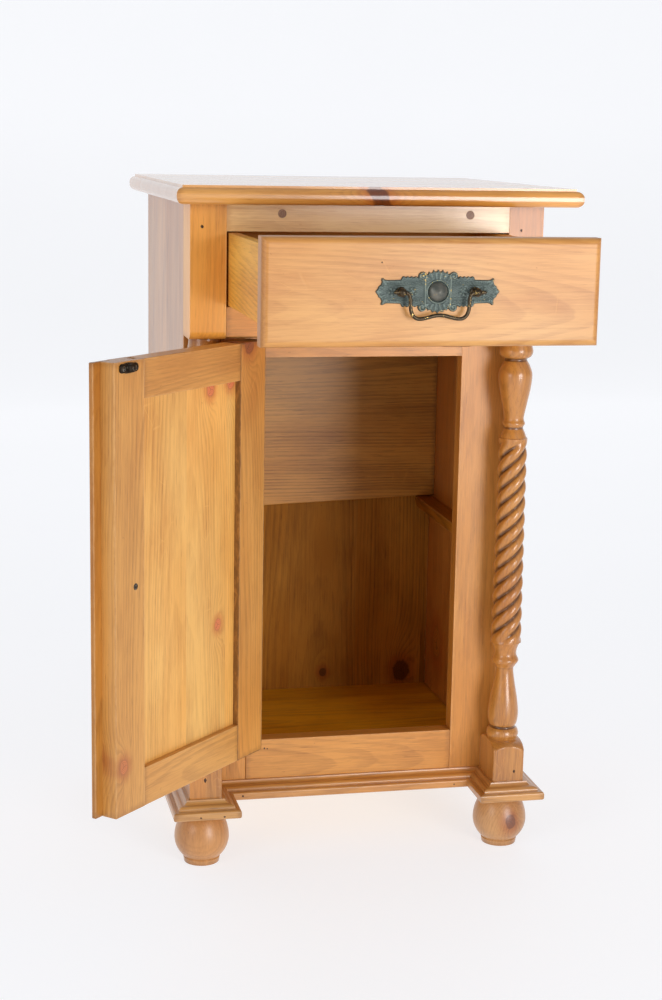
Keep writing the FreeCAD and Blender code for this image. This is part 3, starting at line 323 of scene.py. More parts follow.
# pale, honey and dark wood, ring contrast, roughness, coat weight, coat roughness and specular level
TONES = {
    "honey": (tint(222, 152, 68), tint(202, 131, 48), tint(138, 80, 20), 0.28, 0.42, 0.3, 0.26, 0.48),
    # post: lighter than honey, painted light that lifts the left post out of the drawer's shadow
    "post": (tint(250, 182, 86), tint(236, 162, 62), tint(176, 106, 30), 0.2, 0.42, 0.4, 0.22, 0.4),
    "front": (tint(216, 158, 88), tint(202, 138, 66), tint(160, 96, 36), 0.26, 0.42, 0.3, 0.3, 0.42),
    "top": (tint(228, 164, 84), tint(208, 140, 56), tint(152, 90, 28), 0.3, 0.3, 1.0, 0.15, 0.5),
    # rail: paler than honey, a painted highlight standing in for the top rail's glossy reflection
    "rail": (tint(255, 218, 150), tint(248, 200, 120), tint(190, 124, 52), 0.25, 0.36, 1.0, 0.2, 0.5),
    "door": (tint(222, 160, 80), tint(200, 135, 58), tint(144, 90, 28), 0.28, 0.42, 0.4, 0.28, 0.45),
    "panel": (tint(242, 188, 104), tint(226, 164, 78), tint(168, 108, 38), 0.28, 0.42, 0.4, 0.28, 0.45),
    "side": (tint(202, 136, 62), tint(182, 114, 42), tint(126, 72, 20), 0.3, 0.38, 0.55, 0.22, 0.48),
    # inside: darker than honey, part unvarnished wood and part painted shade of the deep interior
    "inside": (tint(196, 134, 46), tint(164, 103, 24), tint(92, 54, 8), 0.36, 0.5, 0.0, 0.4, 0.12),
    "backer": (tint(220, 156, 66), tint(190, 124, 40), tint(108, 64, 14), 0.36, 0.38, 0.25, 0.25, 0.25),
    "shelf": (tint(250, 194, 44), tint(234, 170, 28), tint(150, 94, 10), 0.36, 0.42, 0.1, 0.3, 0.25),
    "turned": (tint(204, 140, 66), tint(180, 114, 40), tint(118, 66, 16), 0.25, 0.34, 0.7, 0.16, 0.5),
    "foot": (tint(198, 148, 94), tint(182, 126, 68), tint(134, 84, 38), 0.25, 0.42, 0.6, 0.28, 0.5),
    "moulding": (tint(206, 150, 84), tint(188, 126, 56), tint(122, 74, 26), 0.3, 0.36, 0.7, 0.2, 0.5),
    "box": (tint(246, 184, 78), tint(228, 160, 54), tint(168, 106, 24), 0.35, 0.5, 0.1, 0.35, 0.35),
    "edge": (tint(192, 130, 54), tint(172, 108, 36), tint(118, 66, 16), 0.3, 0.42, 0.3, 0.25, 0.4),
    "plug": (tint(208, 168, 128), tint(176, 132, 96), tint(104, 64, 40), 0.6, 0.45, 0.3, 0.25, 0.4),
}
NO_STAVES = 9000.0


def local_frame(along, face):
    """The matrix that turns row directions into across, through and along the board."""
    across = face.cross(along).normalized()
    return Matrix((across, face, along))


def local_box(points, turn):
    """Centre and half size of some points in a board's own directions."""
    turned = np.array([turn @ Vector(p) for p in points])
    low, high = turned.min(axis=0), turned.max(axis=0)
    return Vector((low + high) / 2), Vector((high - low) / 2)


def pine(name, points, along, face, tone, seed, ring=3.4, pith=(0.01, 0.07), lean=(0.01, 0.03),
         stave=NO_STAVES, knots=(), heart=tint(160, 78, 40), dirt_shade_band=0.0, groove=None):
    """A pine material for a board. Knots are (across, along, radius) in mm from the board's centre.

    Ring, stave and the width of the border band of dirt and painted groove shade are in mm, and pith and
    lean in metres and metres per metre."""
    pale, honey, dark, contrast, gloss, coat, coat_rough, shine = TONES[tone]
    material, g, place = new_material(name)
    turn = local_frame(along, face)
    centre, half = local_box(points, turn)
    sockets = {"Vector": place, "Rotation": turn.to_euler("XYZ"), "Location": -centre}
    place = g.add("Mapping", sockets).outputs[0]
    marks = []
    for across, up, radius in knots:
        spot = (across * MM, 0.0, up * MM)
        sockets = {"Place": place, "Centre": spot, "Radius": radius * MM, "Heart": heart}
        marks.append(use_group(g, KNOT, sockets))
    swell = g.total(0.0, *[mark["Swell"] for mark in marks])
    wood = use_group(g, PINE, {
        "Place": place, "Pith": (*pith, 0.0), "Lean": (*lean, 0.0), "Seed": seed,
        "Ring": ring * MM, "Swell": swell, "Half": half, "Stave": stave * MM, "Gloss": gloss,
        "DirtShadeBand": dirt_shade_band * MM, "Depth": contrast, "Pale": pale, "Honey": honey, "Dark": dark,
    })
    colour = wood["Color"]
    for mark in marks:
        colour = g.mix(mark["Halo"], colour, g.mix(1.0, colour, tint(214, 150, 110), "MULTIPLY"))
        colour = g.mix(mark["Mask"], colour, mark["Color"])
    if groove:
        hollow = g.add("Attribute", attribute_name=groove).outputs["Fac"]
        patchy = g.pattern(place, (70.0, 70.0, 40.0), 3.0)
        hollow = g.times(g.ramp(hollow, 0.3, 0.85), g.ramp(patchy, 0.25, 0.6, 0.65, 0.95))
        colour = g.mix(hollow, colour, g.scale(dark[:3], 0.5))
    g.surface(colour, wood["Roughness"], {
        **g.bump(wood["Height"], 0.32, 0.0004), "IOR": 1.5, "Specular IOR Level": shine,
        "Coat Weight": coat, "Coat Roughness": coat_rough, "Coat IOR": 1.5,
    })
    return material


def dress(node, along, face, tone, seed, **details):
    """Gives a CAD board its own pine."""
    piece = NODES[node]
    points = [v.co for v in piece.data.vertices]
    material = pine("wood_" + node, points, along, face, tone, seed, **details)
    piece.material_slots[0].material = material


def soften(node, width, angle=35.0):
    """Rubs down the sharp arrises of a CAD board."""
    piece = NODES[node]
    weld = piece.modifiers.new("weld", "WELD")
    weld.merge_threshold = 1e-5
    flat = piece.modifiers.new("flat", "DECIMATE")
    flat.decimate_type = "DISSOLVE"
    flat.angle_limit = math.radians(0.5)
    bevel = piece.modifiers.new("bevel", "BEVEL")
    bevel.width = width * MM
    bevel.segments = 2
    bevel.limit_method = "ANGLE"
    bevel.angle_limit = math.radians(angle)
    bevel.harden_normals = True


# how each board was cut: along the grain, its face, its tone, and what else it shows
BOARDS = {
    "top_board": (X, Z, "top", dict(
        stave=118, ring=3.8, pith=(0.02, -0.06), knots=[(-219, -6, 9), (-60, 120, 10)],
        heart=tint(104, 44, 22))),
    "side_panel_left": (Z, X, "side", dict(stave=108, ring=3.2)),
    "side_panel_right": (Z, X, "honey", dict(
        stave=112, ring=3.6, knots=[(-104, -252, 19), (60, 120, 8)], heart=tint(208, 134, 50))),
    # the two upper posts are one wood: the left takes the lighter post tone as painted light against the
    # drawer's shadow, the right the darker side tone as painted shade where the key lamp falls hardest
    "upper_post_left": (Z, Y, "post", dict(ring=3.0, pith=(0.05, 0.05))),
    "upper_post_right": (Z, Y, "side", dict(ring=3.2, pith=(-0.04, 0.06))),
    "top_rail": (X, Y, "rail", dict(ring=2.6, pith=(0.0, 0.09), lean=(0.0, 0.015))),
    "drawer_rail": (X, Y, "honey", dict(ring=3.0)),
    "head_rail": (X, Y, "honey", dict(ring=3.0)),
    "lower_stile_left": (Z, Y, "honey", dict(ring=3.2)),
    "lower_stile_right": (Z, Y, "honey", dict(ring=3.0, pith=(-0.03, 0.08), lean=(0.01, 0.02))),
    "bottom_rail": (X, Y, "honey", dict(ring=3.8, pith=(0.0, 0.05), lean=(0.0, 0.05))),
    "hanging_strip": (Z, Y, "honey", dict(ring=3.0)),
    "dust_board": (X, Z, "inside", dict(stave=95)),
    "drawer_runner_left": (Y, Z, "inside"),
    "drawer_runner_right": (Y, Z, "inside"),
    "drawer_guide_left": (Y, X, "inside"),
    "drawer_guide_right": (Y, X, "inside"),
    "floor_board": (X, Z, "shelf", dict(stave=100, ring=4.2)),
    "corner_blocks": (Y, Z, "inside"),
    "inner_back_board": (X, Y, "backer", dict(ring=4.4, pith=(-0.05, 0.03), lean=(0.02, 0.05))),
    "back_panel": (Z, Y, "inside", dict(
        stave=92, ring=4.0, knots=[(144, -302, 12), (34, -300, 5), (-60, 160, 9)], heart=tint(96, 50, 4))),
    "shelf_cleat_left": (Y, X, "inside"),
    "shelf_cleat_right": (Y, X, "inside"),
    "foot_front_left": (Z, Y, "foot", dict(ring=3.6, pith=(0.03, 0.03), lean=(0.3, 0.2))),
    "foot_front_right": (Z, Y, "foot", dict(
        ring=3.6, pith=(-0.02, 0.03), lean=(0.5, -0.3), knots=[(-6, -14, 7)], heart=tint(120, 62, 32))),
    "foot_rear_left": (Z, Y, "foot", dict(ring=3.6, pith=(0.03, -0.03), lean=(0.3, 0.2))),
    "foot_rear_right": (Z, Y, "foot", dict(ring=3.6, pith=(0.02, 0.04), lean=(-0.3, 0.2))),
    "plinth_side_left": (Y, X, "moulding"),
    "plinth_block_left": (X, Y, "moulding"),
    "plinth_return_left": (Y, X, "moulding"),
    "plinth_front": (X, Y, "moulding"),
    "plinth_return_right": (Y, X, "moulding"),
    "plinth_block_right": (X, Y, "moulding"),
    "plinth_side_right": (Y, X, "moulding"),
    "drawer_front": (X, Y, "front", dict(ring=4.4, pith=(0.01, 0.035), lean=(0.004, 0.09))),
    "drawer_side_left": (Y, X, "box", dict(ring=4.4, pith=(0.03, 0.03), lean=(0.06, 0.05))),
    "drawer_side_right": (Y, X, "box", dict(ring=4.4)),
    "drawer_back": (X, Y, "box"),
    "drawer_bottom": (X, Z, "box", dict(stave=110)),
    # the hinge stile and the door panel get a dark border band that is part dirt and part painted shade
    # along the panel's groove
    "door_stile_hinge": (Z, T, "door", dict(
        ring=3.0, pith=(0.03, 0.07), knots=[(12, 241, 9)], heart=tint(150, 80, 42), dirt_shade_band=0.7)),
    "door_stile_lock": (Z, T, "door", dict(
        ring=2.8, pith=(-0.04, 0.06), knots=[(15, -178, 7)], heart=tint(206, 118, 60))),
    "door_rail_top": (S, T, "door", dict(ring=3.0)),
    "door_rail_bottom": (S, T, "door", dict(ring=3.4)),
    "door_closing_strip": (Z, T, "edge", dict(ring=2.6)),
    "door_panel": (Z, T, "panel", dict(
        stave=74, ring=3.4, knots=[(-76, 197, 7), (-38, 193, 7), (-54, -70, 6)],
        heart=tint(226, 124, 78), dirt_shade_band=4.0)),
    "door_knob": (T, Z, "turned", dict(ring=3.2, pith=(0.01, 0.02))),
    "rail_plugs": (Y, Z, "plug", dict(ring=1.8, pith=(0.001, 0.003))),
}
# the sharp-edged boards, by the width in mm that their arrises are rubbed down by
SOFTENED = {
    0.5: ["drawer_bottom"],
    0.7: ["door_rail_top", "door_rail_bottom"],
    0.8: ["dust_board", "back_panel", "top_rail"],
    0.9: ["head_rail", "door_closing_strip"],
    1.0: ["drawer_rail", "bottom_rail", "drawer_runner_left", "drawer_runner_right", "drawer_guide_left",
          "drawer_guide_right", "floor_board", "drawer_back"],
    1.2: ["side_panel_left", "side_panel_right", "inner_back_board", "drawer_side_left",
          "drawer_side_right"],
    1.4: ["lower_stile_left", "lower_stile_right"],
    1.5: ["corner_blocks"],
    1.6: ["shelf_cleat_left", "shelf_cleat_right"],
}


def dress_boards():
    for number, (node, (along, face, tone, *details)) in enumerate(BOARDS.items()):
        dress(node, along, face, tone, 3.0 + 7.3 * number, **(details[0] if details else {}))
    for width, nodes in SOFTENED.items():
        for node in nodes:
            soften(node, width)


# ---------------------------------------------------------------- metal
def metal(name, body, bright, patina, rough, scale, share):
    """An aged metal: a dull skin that has rubbed through to brighter metal in places.

    Scale is the patches' frequency per metre, and a higher share leaves less bright metal."""
    material, g, place = new_material(name)
    cloud = g.pattern(place, scale, 4.0, 0.6)
    grit = g.pattern(place, scale * 6, 3.0, 0.6)
    rubbed = g.ramp(g.total(cloud, g.about(grit, 0.5, 0.35)), share, share + 0.06)
    colour = g.mix(g.ramp(grit, 0.3, 0.7), body, patina)
    colour = g.mix(rubbed, colour, bright)
    roughness = g.total(rough, g.times(grit, 0.2), g.times(rubbed, -0.2))
    g.surface(colour, roughness, {"Metallic": 0.85, **g.bump(g.total(grit, rubbed), 0.4, 0.0001)})
    return material


def cast_metal(name):
    """The pull's plate: grey-green skin, dark in the hollows, rubbed to brass on the high ornament."""
    material, g, place = new_material(name)
    raised = g.add("Attribute", attribute_name="raised").outputs["Fac"]
    boss = g.add("Attribute", attribute_name="boss").outputs["Fac"]
    cloud = g.pattern(place, 130.0, 3.0, 0.6)
    grit = g.pattern(place, 1500.0, 3.0, 0.65)
    body = g.mix(g.ramp(cloud, 0.3, 0.7), tint(84, 96, 92), tint(104, 116, 110))
    body = g.mix(g.ramp(raised, -0.3, 0.5, 0.85, 0.0), body, tint(44, 52, 50))
    body = g.mix(g.ramp(raised, 0.6, 1.4, 0.0, 0.55), body, tint(140, 148, 136))
    spots = g.pattern(place, 420.0, 3.0, 0.6)
    brass = g.ramp(g.total(spots, g.times(raised, 0.085)), 0.71, 0.75)
    body = g.mix(boss, body, g.mix(g.ramp(cloud, 0.35, 0.7), tint(84, 86, 80), tint(116, 112, 102)))
    colour = g.mix(brass, body, tint(220, 184, 104))
    rough = g.total(0.3, g.times(grit, 0.24), g.times(brass, -0.15), g.times(boss, -0.06))
    g.surface(colour, rough, {"Metallic": 0.5, **g.bump(g.total(grit, cloud), 0.5, 0.00012)})
    return material


def wax_filler():
    """Dark wax and dirt in a nail hole."""
    material, g, place = new_material("wax_filler")
    grain = g.pattern(place, 1300.0, 3.0, 0.6)
    colour = g.mix(g.ramp(grain, 0.3, 0.7), tint(44, 26, 12), tint(84, 52, 26))
    g.surface(colour, 0.7, g.bump(grain, 0.5, 0.0002))
    return material


def dress_metal():
    """Ages the CAD metal and gives back the metals that the new pieces use."""
    steel = metal("old_steel", tint(192, 190, 182), tint(226, 224, 218), tint(150, 140, 124), 0.34, 300,
                  0.45)
    iron = metal("black_iron", tint(34, 30, 27), tint(130, 122, 108), tint(58, 46, 34), 0.42, 260, 0.62)
    wire = metal("blacked_brass", tint(48, 42, 36), tint(216, 182, 110), tint(84, 70, 50), 0.2, 420, 0.61)
    screw = metal("dark_screw", tint(52, 48, 44), tint(170, 164, 152), tint(84, 72, 58), 0.28, 500, 0.56)
    for node in ("hinge_leaves_post", "hinge_pins", "hinge_screws_post", "hinge_leaves_door"):
        NODES[node].material_slots[0].material = steel
    NODES["door_screws"].material_slots[0].material = screw
    NODES["catch_keeper"].material_slots[0].material = iron
    for node in ("pull_eye_bolts", "pull_nuts"):
        NODES[node].material_slots[0].material = wire
    return iron, wire, screw


# ---------------------------------------------------------------- meshes
def make_piece(name, points, faces, material, body):
    """A mesh piece that rides on a CAD body."""
    data = bpy.data.meshes.new(name)
    data.from_pydata([tuple(p) for p in points], [], faces)
    data.polygons.foreach_set("use_smooth", [True] * len(data.polygons))
    data.materials.append(material)
    data.update()
    piece = add_object(name, data)
    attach(piece, body)
    return piece


def rings_mesh(rings):
    """Points and faces of a skin over equal rings of points, with a flat face at each end."""
    count = len(rings[0])
    points = [p for ring in rings for p in ring]
    faces = []
    for i in range(len(rings) - 1):
        for k in range(count):
            a, b = i * count + k, i * count + (k + 1) % count
            faces.append((a, b, b + count, a + count))
    faces.append(tuple(range(count - 1, -1, -1)))
    faces.append(tuple(range(len(points) - count, len(points))))
    return points, faces


def circle(centre, side, other, radius, turns):
    """A ring of points round a centre, in the plane of two directions. Radius is in metres."""
    angles = [2 * math.pi * k / turns for k in range(turns)]
    return [centre + (side * math.cos(a) + other * math.sin(a)) * radius for a in angles]


def lathe(profile, place, axis, turns):
    """Rings of a turned shape. The profile is (radius, height) in mm along the axis from the place."""
    side = axis.orthogonal().normalized()
    other = axis.cross(side)
    return [circle(Vector(place) + axis * height * MM, side, other, radius * MM, turns)
            for radius, height in profile]


def smooth_line(points, steps):
    """Points on an even curve through the given ones (Catmull-Rom)."""
    line = []
    padded = [2 * points[0] - points[1], *points, 2 * points[-1] - points[-2]]
    for i in range(1, len(padded) - 2):
        p0, p1, p2, p3 = padded[i - 1:i + 3]
        for k in range(steps):
            t = k / steps
            line.append(0.5 * (2 * p1 + (p2 - p0) * t + (2 * p0 - 5 * p1 + 4 * p2 - p3) * t * t
                               + (3 * p1 - p0 - 3 * p2 + p3) * t ** 3))
    return [*line, points[-1]]


def sweep(line, radius_at, flat, turns=20):
    """Rings of a round wire along a line. Flat is a direction square to the whole line."""
    rings = []
    for i, point in enumerate(line):
        ahead = (line[min(i + 1, len(line) - 1)] - line[max(i - 1, 0)]).normalized()
        radius = radius_at(i / (len(line) - 1))
        rings.append(circle(point, ahead.cross(flat).normalized(), flat, radius, turns))
    return rings


# ---------------------------------------------------------------- columns
# (radius, height) in mm of the turned parts over and under the twist; heights are above the floor
UPPER_TURNING = ((16.4, 491.0), (13.4, 499.0), (11.0, 505.0), (13.1, 510.0), (11.5, 516.5), (14.6, 533.0),
                 (18.3, 552.0), (19.5, 567.0), (16.5, 577.0), (12.8, 584.5), (17.4, 588.0), (19.5, 594.0),
                 (17.6, 603.0), (17.0, 611.0))
LOWER_TURNING = ((16.5, 128.0), (17.8, 132.5), (19.0, 137.0), (17.6, 142.0), (14.5, 145.5), (16.6, 150.0),
                 (18.0, 161.0), (16.4, 178.0), (12.4, 200.0), (10.4, 215.4), (12.8, 221.0), (16.0, 226.6),
                 (13.2, 234.0), (14.0, 241.5), (18.0, 251.0))
BLOCK_BASE, SHOULDER_LOW, SHOULDER_TOP = 65.5, 117.0, 131.0
BLOCK_HALF_X, BLOCK_HALF_Y = 19.0, 29.0
TWIST_LOW, TWIST_HIGH = 249.0, 493.0
TWIST_RADIUS_LOW, TWIST_RADIUS_HIGH = 18.3, 16.6
TWIST_DEPTH, TWIST_FADE, TWIST_LEAD, STRANDS = 4.1, 12.0, 76.0, 4
SHOULDER_REACH = 16.5
SQUARENESS = 30  # the power of the rounded square that the foot block is cut to
COLUMN_TURNS = 144


def turned_heights(stations, step=0.9):
    """(radius, height, groove) along a turned profile. Groove is 1 in a quirk and 0 on a swelling."""
    line = smooth_line([Vector((r, h, 0)) for r, h in stations], 10)
    radii, heights = [p.x for p in line], [p.y for p in line]
    levels = np.arange(heights[0], heights[-1], step)
    reach = np.interp(levels, heights, radii)
    window = np.ones(9) / 9
    around = np.convolve(np.pad(reach, 4, mode="edge"), window, mode="valid")
    groove = np.clip((around - reach) / 0.9, 0, 1)
    return list(zip(reach, levels, groove))


def block_reach(height, angle):
    """How far the column's square foot reaches at a height and angle, in mm."""
    corner = math.hypot(BLOCK_HALF_X, BLOCK_HALF_Y)
    across, deep = abs(math.cos(angle) / BLOCK_HALF_X), abs(math.sin(angle) / BLOCK_HALF_Y)
    square = (across ** SQUARENESS + deep ** SQUARENESS) ** (-1 / SQUARENESS)
    if height <= SHOULDER_LOW:
        return square
    share = (height - SHOULDER_LOW) / (SHOULDER_TOP - SHOULDER_LOW)
    arc = math.sqrt(max(0.0, 1 - share ** 2))
    return min(square, SHOULDER_REACH + (corner - SHOULDER_REACH) * arc)


def make_column(node, hand):
    """A column with a square foot, turned ends and four strands wound round each other."""
    low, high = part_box(node)
    axis_x, axis_y = (low.x + high.x) / 2, (low.y + high.y) / 2
    angles = [2 * math.pi * k / COLUMN_TURNS for k in range(COLUMN_TURNS)]
    rings, grooves = [], []

    def ring(height, reaches, depths):
        rings.append([Vector((axis_x + r * MM * math.cos(a), axis_y + r * MM * math.sin(a), height * MM))
                      for r, a in zip(reaches, angles)])
        grooves.extend(depths)

    block_levels = [BLOCK_BASE, SHOULDER_LOW - 0.5] + [
        SHOULDER_LOW + (SHOULDER_TOP - SHOULDER_LOW) * math.sin(math.pi / 2 * k / 16) for k in range(16)]
    for height in block_levels:
        ring(height, [block_reach(height, a) for a in angles], [0.0] * COLUMN_TURNS)
    for radius, height, groove in turned_heights(LOWER_TURNING):
        if SHOULDER_TOP <= height < TWIST_LOW:
            ring(height, [radius] * COLUMN_TURNS, [groove] * COLUMN_TURNS)
    steps = 260
    for k in range(steps + 1):
        share = k / steps
        height = TWIST_LOW + share * (TWIST_HIGH - TWIST_LOW)
        radius = TWIST_RADIUS_LOW * (1 - share) + TWIST_RADIUS_HIGH * share
        fade = min(1.0, (height - TWIST_LOW) / TWIST_FADE, (TWIST_HIGH - height) / TWIST_FADE)
        turn = hand * 2 * math.pi * (height - TWIST_LOW) / TWIST_LEAD
        cuts = [1 - abs(math.cos(STRANDS / 2 * (a - turn))) for a in angles]
        ring(height, [radius - TWIST_DEPTH * fade * c for c in cuts], [fade * c for c in cuts])
    for radius, height, groove in turned_heights(UPPER_TURNING):
        if height > TWIST_HIGH:
            ring(height, [radius] * COLUMN_TURNS, [groove] * COLUMN_TURNS)
    ring(UPPER_TURNING[-1][1], [UPPER_TURNING[-1][0]] * COLUMN_TURNS, [0.0] * COLUMN_TURNS)
    points, faces = rings_mesh(rings)
    material = pine("wood_" + node, points, Z, Y, "turned", 101.0 + hand, ring=4.0,
                    pith=(0.03 * hand, 0.02), groove="groove")
    piece = make_piece("turned_" + node, points, faces, material, "carcass")
    layer = piece.data.attributes.new("groove", "FLOAT", "POINT")
    layer.data.foreach_set("value", [float(v) for v in grooves])
    sharpen(piece, 38.0)
    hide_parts(node)


def sharpen(piece, angle):
    """Keeps the edges over an angle crisp on a smooth piece."""
    mesh = bmesh.new()
    mesh.from_mesh(piece.data)
    mesh.normal_update()
    for edge in mesh.edges:
        edge.smooth = not (len(edge.link_faces) == 2 and edge.calc_face_angle(0.0) > math.radians(angle))
    mesh.to_mesh(piece.data)
    mesh.free()


# ---------------------------------------------------------------- drawer pull
# all in mm from the plate's middle
CURL_X, CURL_Z = 15.6, 15.0
WING_START, WING_END = 14.5, 52
BOSS_RADIUS, BOSS_RISE = 9.3, 6.6
PEBBLE_PITCH, BEAD_PITCH = 1.7, 2.1
PLATE_STEP = 0.42


def arc_points(x, z, radius, first, last, count):
    """Points on an arc, angles in degrees from +X."""
    angles = [math.radians(first + (last - first) * k / (count - 1)) for k in range(count)]
    return [(x + radius * math.cos(a), z + radius * math.sin(a)) for a in angles]


def plate_edge():
    """The pull plate's outline: a leafy crown, four curls, and stepped wings with pointed ends."""
    crown = [(0.0, 21.8), (1.4, 19.6), (3.3, 19.4), (4.6, 21.6), (5.8, 19.0), (7.6, 18.2), (9.2, 19.8),
             (10.4, 17.0)]
    curl = arc_points(CURL_X, CURL_Z, 4.4, 140, -25, 12)
    steps = []
    for k in range(4):
        steps += arc_points(22.4 + 4.0 * k, 13.0, 1.95, 150, 30, 5)
    wing = [(37.3, 11.6), (50.5, 11.2), (52.6, 11.6)] + arc_points(55.2, 11.4, 1.7, 150, -60, 7)
    end = [(56.4, 8.2), (57.4, 6.4), (59.2, 5.4), (59.6, 3.6), (60.8, 2.2), (62.5, 0.0)]
    upper = crown + curl + steps + wing + end
    leaf = [(0.0, -21.4), (2.2, -18.8), (5.0, -20.2), (7.0, -17.6), (9.6, -18.4), (10.6, -16.2)]
    lower = leaf + [(x, -z) for x, z in curl + steps + wing + end]
    right = upper + lower[-2::-1]
    return np.array(right + [(-x, z) for x, z in right[-2:0:-1]])


def edge_distance(x, z, outline):
    """Signed distance to the outline, positive inside, and the nearest point on it."""
    best = np.full(x.shape, 1e9)
    near_x, near_z = np.zeros(x.shape), np.zeros(x.shape)
    inside = np.zeros(x.shape, bool)
    for (ax, az), (bx, bz) in zip(outline, np.roll(outline, -1, axis=0)):
        ex, ez = bx - ax, bz - az
        share = np.clip(((x - ax) * ex + (z - az) * ez) / (ex * ex + ez * ez + 1e-12), 0, 1)
        px, pz = ax + share * ex, az + share * ez
        away = np.hypot(x - px, z - pz)
        closer = away < best
        best = np.where(closer, away, best)
        near_x, near_z = np.where(closer, px, near_x), np.where(closer, pz, near_z)
        crosses = (az > z) != (bz > z)
        inside ^= crosses & (x < ex * (z - az) / (ez if ez else 1e-12) + ax)
    return np.where(inside, best, -best), near_x, near_z


def bump_at(value, middle, width):
    return np.exp(-((value - middle) / width) ** 2)


def plate_relief(x, z, inner):
    """Height in mm of the casting's ornament over its ground, and of its boss."""
    ax, az = np.abs(x), np.abs(z)
    radius, turn = np.hypot(x, z), np.arctan2(z, x)
    wing = (ax > WING_START) & (ax < WING_END)
    relief = 0.55 * bump_at(inner, 1.1, 0.5)
    column = x / PEBBLE_PITCH
    pebbles = np.sin(2 * np.pi * column) * np.sin(2 * np.pi * z / PEBBLE_PITCH + np.pi * np.floor(column))
    relief += 0.24 * pebbles
    relief += np.where(wing, 0.9 * bump_at(az, 6.6, 0.42), 0)
    beads = np.hypot((ax % BEAD_PITCH) - BEAD_PITCH / 2, az - 9.0)
    relief += np.where(wing, 0.8 * bump_at(beads, 0.0, 0.62), 0)
    for middle in (25.5, 45.5):
        away, spin = np.hypot(ax - middle, z), np.arctan2(z, ax - middle)
        petals = 1.3 * bump_at(away, 3.0, 1.5) * (0.5 + 0.5 * np.cos(5 * spin + 0.6))
        relief += np.where(ax > WING_START, petals + 0.7 * bump_at(away, 0.0, 0.9), 0)
    rays = 0.9 * (0.5 + 0.5 * np.cos(15 * np.arctan2(z, ax - 46)))
    relief += np.where(ax > 50, rays * bump_at(inner, 2.6, 1.8), 0)
    relief += 0.9 * bump_at(np.hypot(ax - 55.0, az - 11.2), 0.0, 1.0)
    bars = 1.15 * bump_at(ax, 12.7, 0.95) * (az < 15)
    curl_x, curl_z = ax - CURL_X, az - CURL_Z
    curl_r, curl_a = np.hypot(curl_x, curl_z), np.arctan2(curl_z, curl_x)
    curls = 1.25 * (0.5 + 0.5 * np.cos(curl_a - 2 * np.pi * curl_r / 2.5)) * (curl_r < 4.3)
    relief += np.maximum(bars, np.maximum(curls, 1.3 * bump_at(curl_r, 0, 1.0)))
    relief += 0.6 * (0.5 + 0.5 * np.cos(22 * turn)) * (ax < 11.5) * (az > 11.5)
    relief += 1.25 * bump_at(radius, 10.9, 0.7) - 0.5 * bump_at(radius, 9.5, 0.5)
    share = np.clip(radius / BOSS_RADIUS, 0, 1)
    dome = BOSS_RISE * (0.72 * np.sqrt(1 - share ** 2) + 0.28 * (1 - share) ** 1.3)
    dome = np.where(share < 1, dome, 0)
    return np.where(share < 1, 0.2, relief), dome


def make_pull_plate(material):
    """The cast plate, as a closed skin whose face carries the ornament."""
    low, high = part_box("pull_plate")
    middle_x, middle_z = (low.x + high.x) / 2, (low.z + high.z) / 2 + 0.5 * MM
    face_y = high.y
    columns = np.arange(-63.0, 63.0 + PLATE_STEP, PLATE_STEP)
    rows = np.arange(-22.3, 22.3 + PLATE_STEP, PLATE_STEP)
    x, z = np.meshgrid(columns, rows)
    inner, near_x, near_z = edge_distance(x, z, plate_edge())
    keep = inner > -PLATE_STEP * 0.7
    x, z = np.where(inner < 0, near_x, x), np.where(inner < 0, near_z, z)
    inner = np.maximum(inner, 0)
    relief, dome = plate_relief(x, z, inner)
    height = 0.35 + 1.1 * (1 - np.exp(-inner / 0.4)) + relief * (1 - np.exp(-inner / 0.5)) + dome
    front = {}
    points, raised, boss, faces = [], [], [], []
    for r, c in zip(*np.nonzero(keep)):
        front[r, c] = len(points)
        points.append(Vector((middle_x + x[r, c] * MM, face_y - height[r, c] * MM,
                              middle_z + z[r, c] * MM)))
        raised.append(float(relief[r, c]))
        boss.append(float(math.hypot(x[r, c], z[r, c]) < BOSS_RADIUS))
    total = len(points)
    points += [Vector((p.x, face_y, p.z)) for p in points]
    raised += [0.0] * total
    boss += [0.0] * total
    sides = {}
    for r, c in front:
        corners = [(r, c), (r, c + 1), (r + 1, c + 1), (r + 1, c)]
        if all(k in front for k in corners):
            loop = [front[k] for k in corners]
            faces.append(loop)
            faces.append([k + total for k in reversed(loop)])
            for a, b in zip(loop, loop[1:] + loop[:1]):
                if (b, a) in sides:
                    del sides[b, a]
                else:
                    sides[a, b] = True
    faces += [(b, a, a + total, b + total) for a, b in sides]
    piece = make_piece("cast_pull_plate", points, faces, material, "drawer")
    for label, values in (("raised", raised), ("boss", boss)):
        piece.data.attributes.new(label, "FLOAT", "POINT").data.foreach_set("value", values)
    mesh = bmesh.new()
    mesh.from_mesh(piece.data)
    bmesh.ops.remove_doubles(mesh, verts=mesh.verts, dist=2e-5)
    bmesh.ops.delete(mesh, geom=[v for v in mesh.verts if not v.link_faces], context="VERTS")
    mesh.to_mesh(piece.data)
    mesh.free()
    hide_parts("pull_plate")


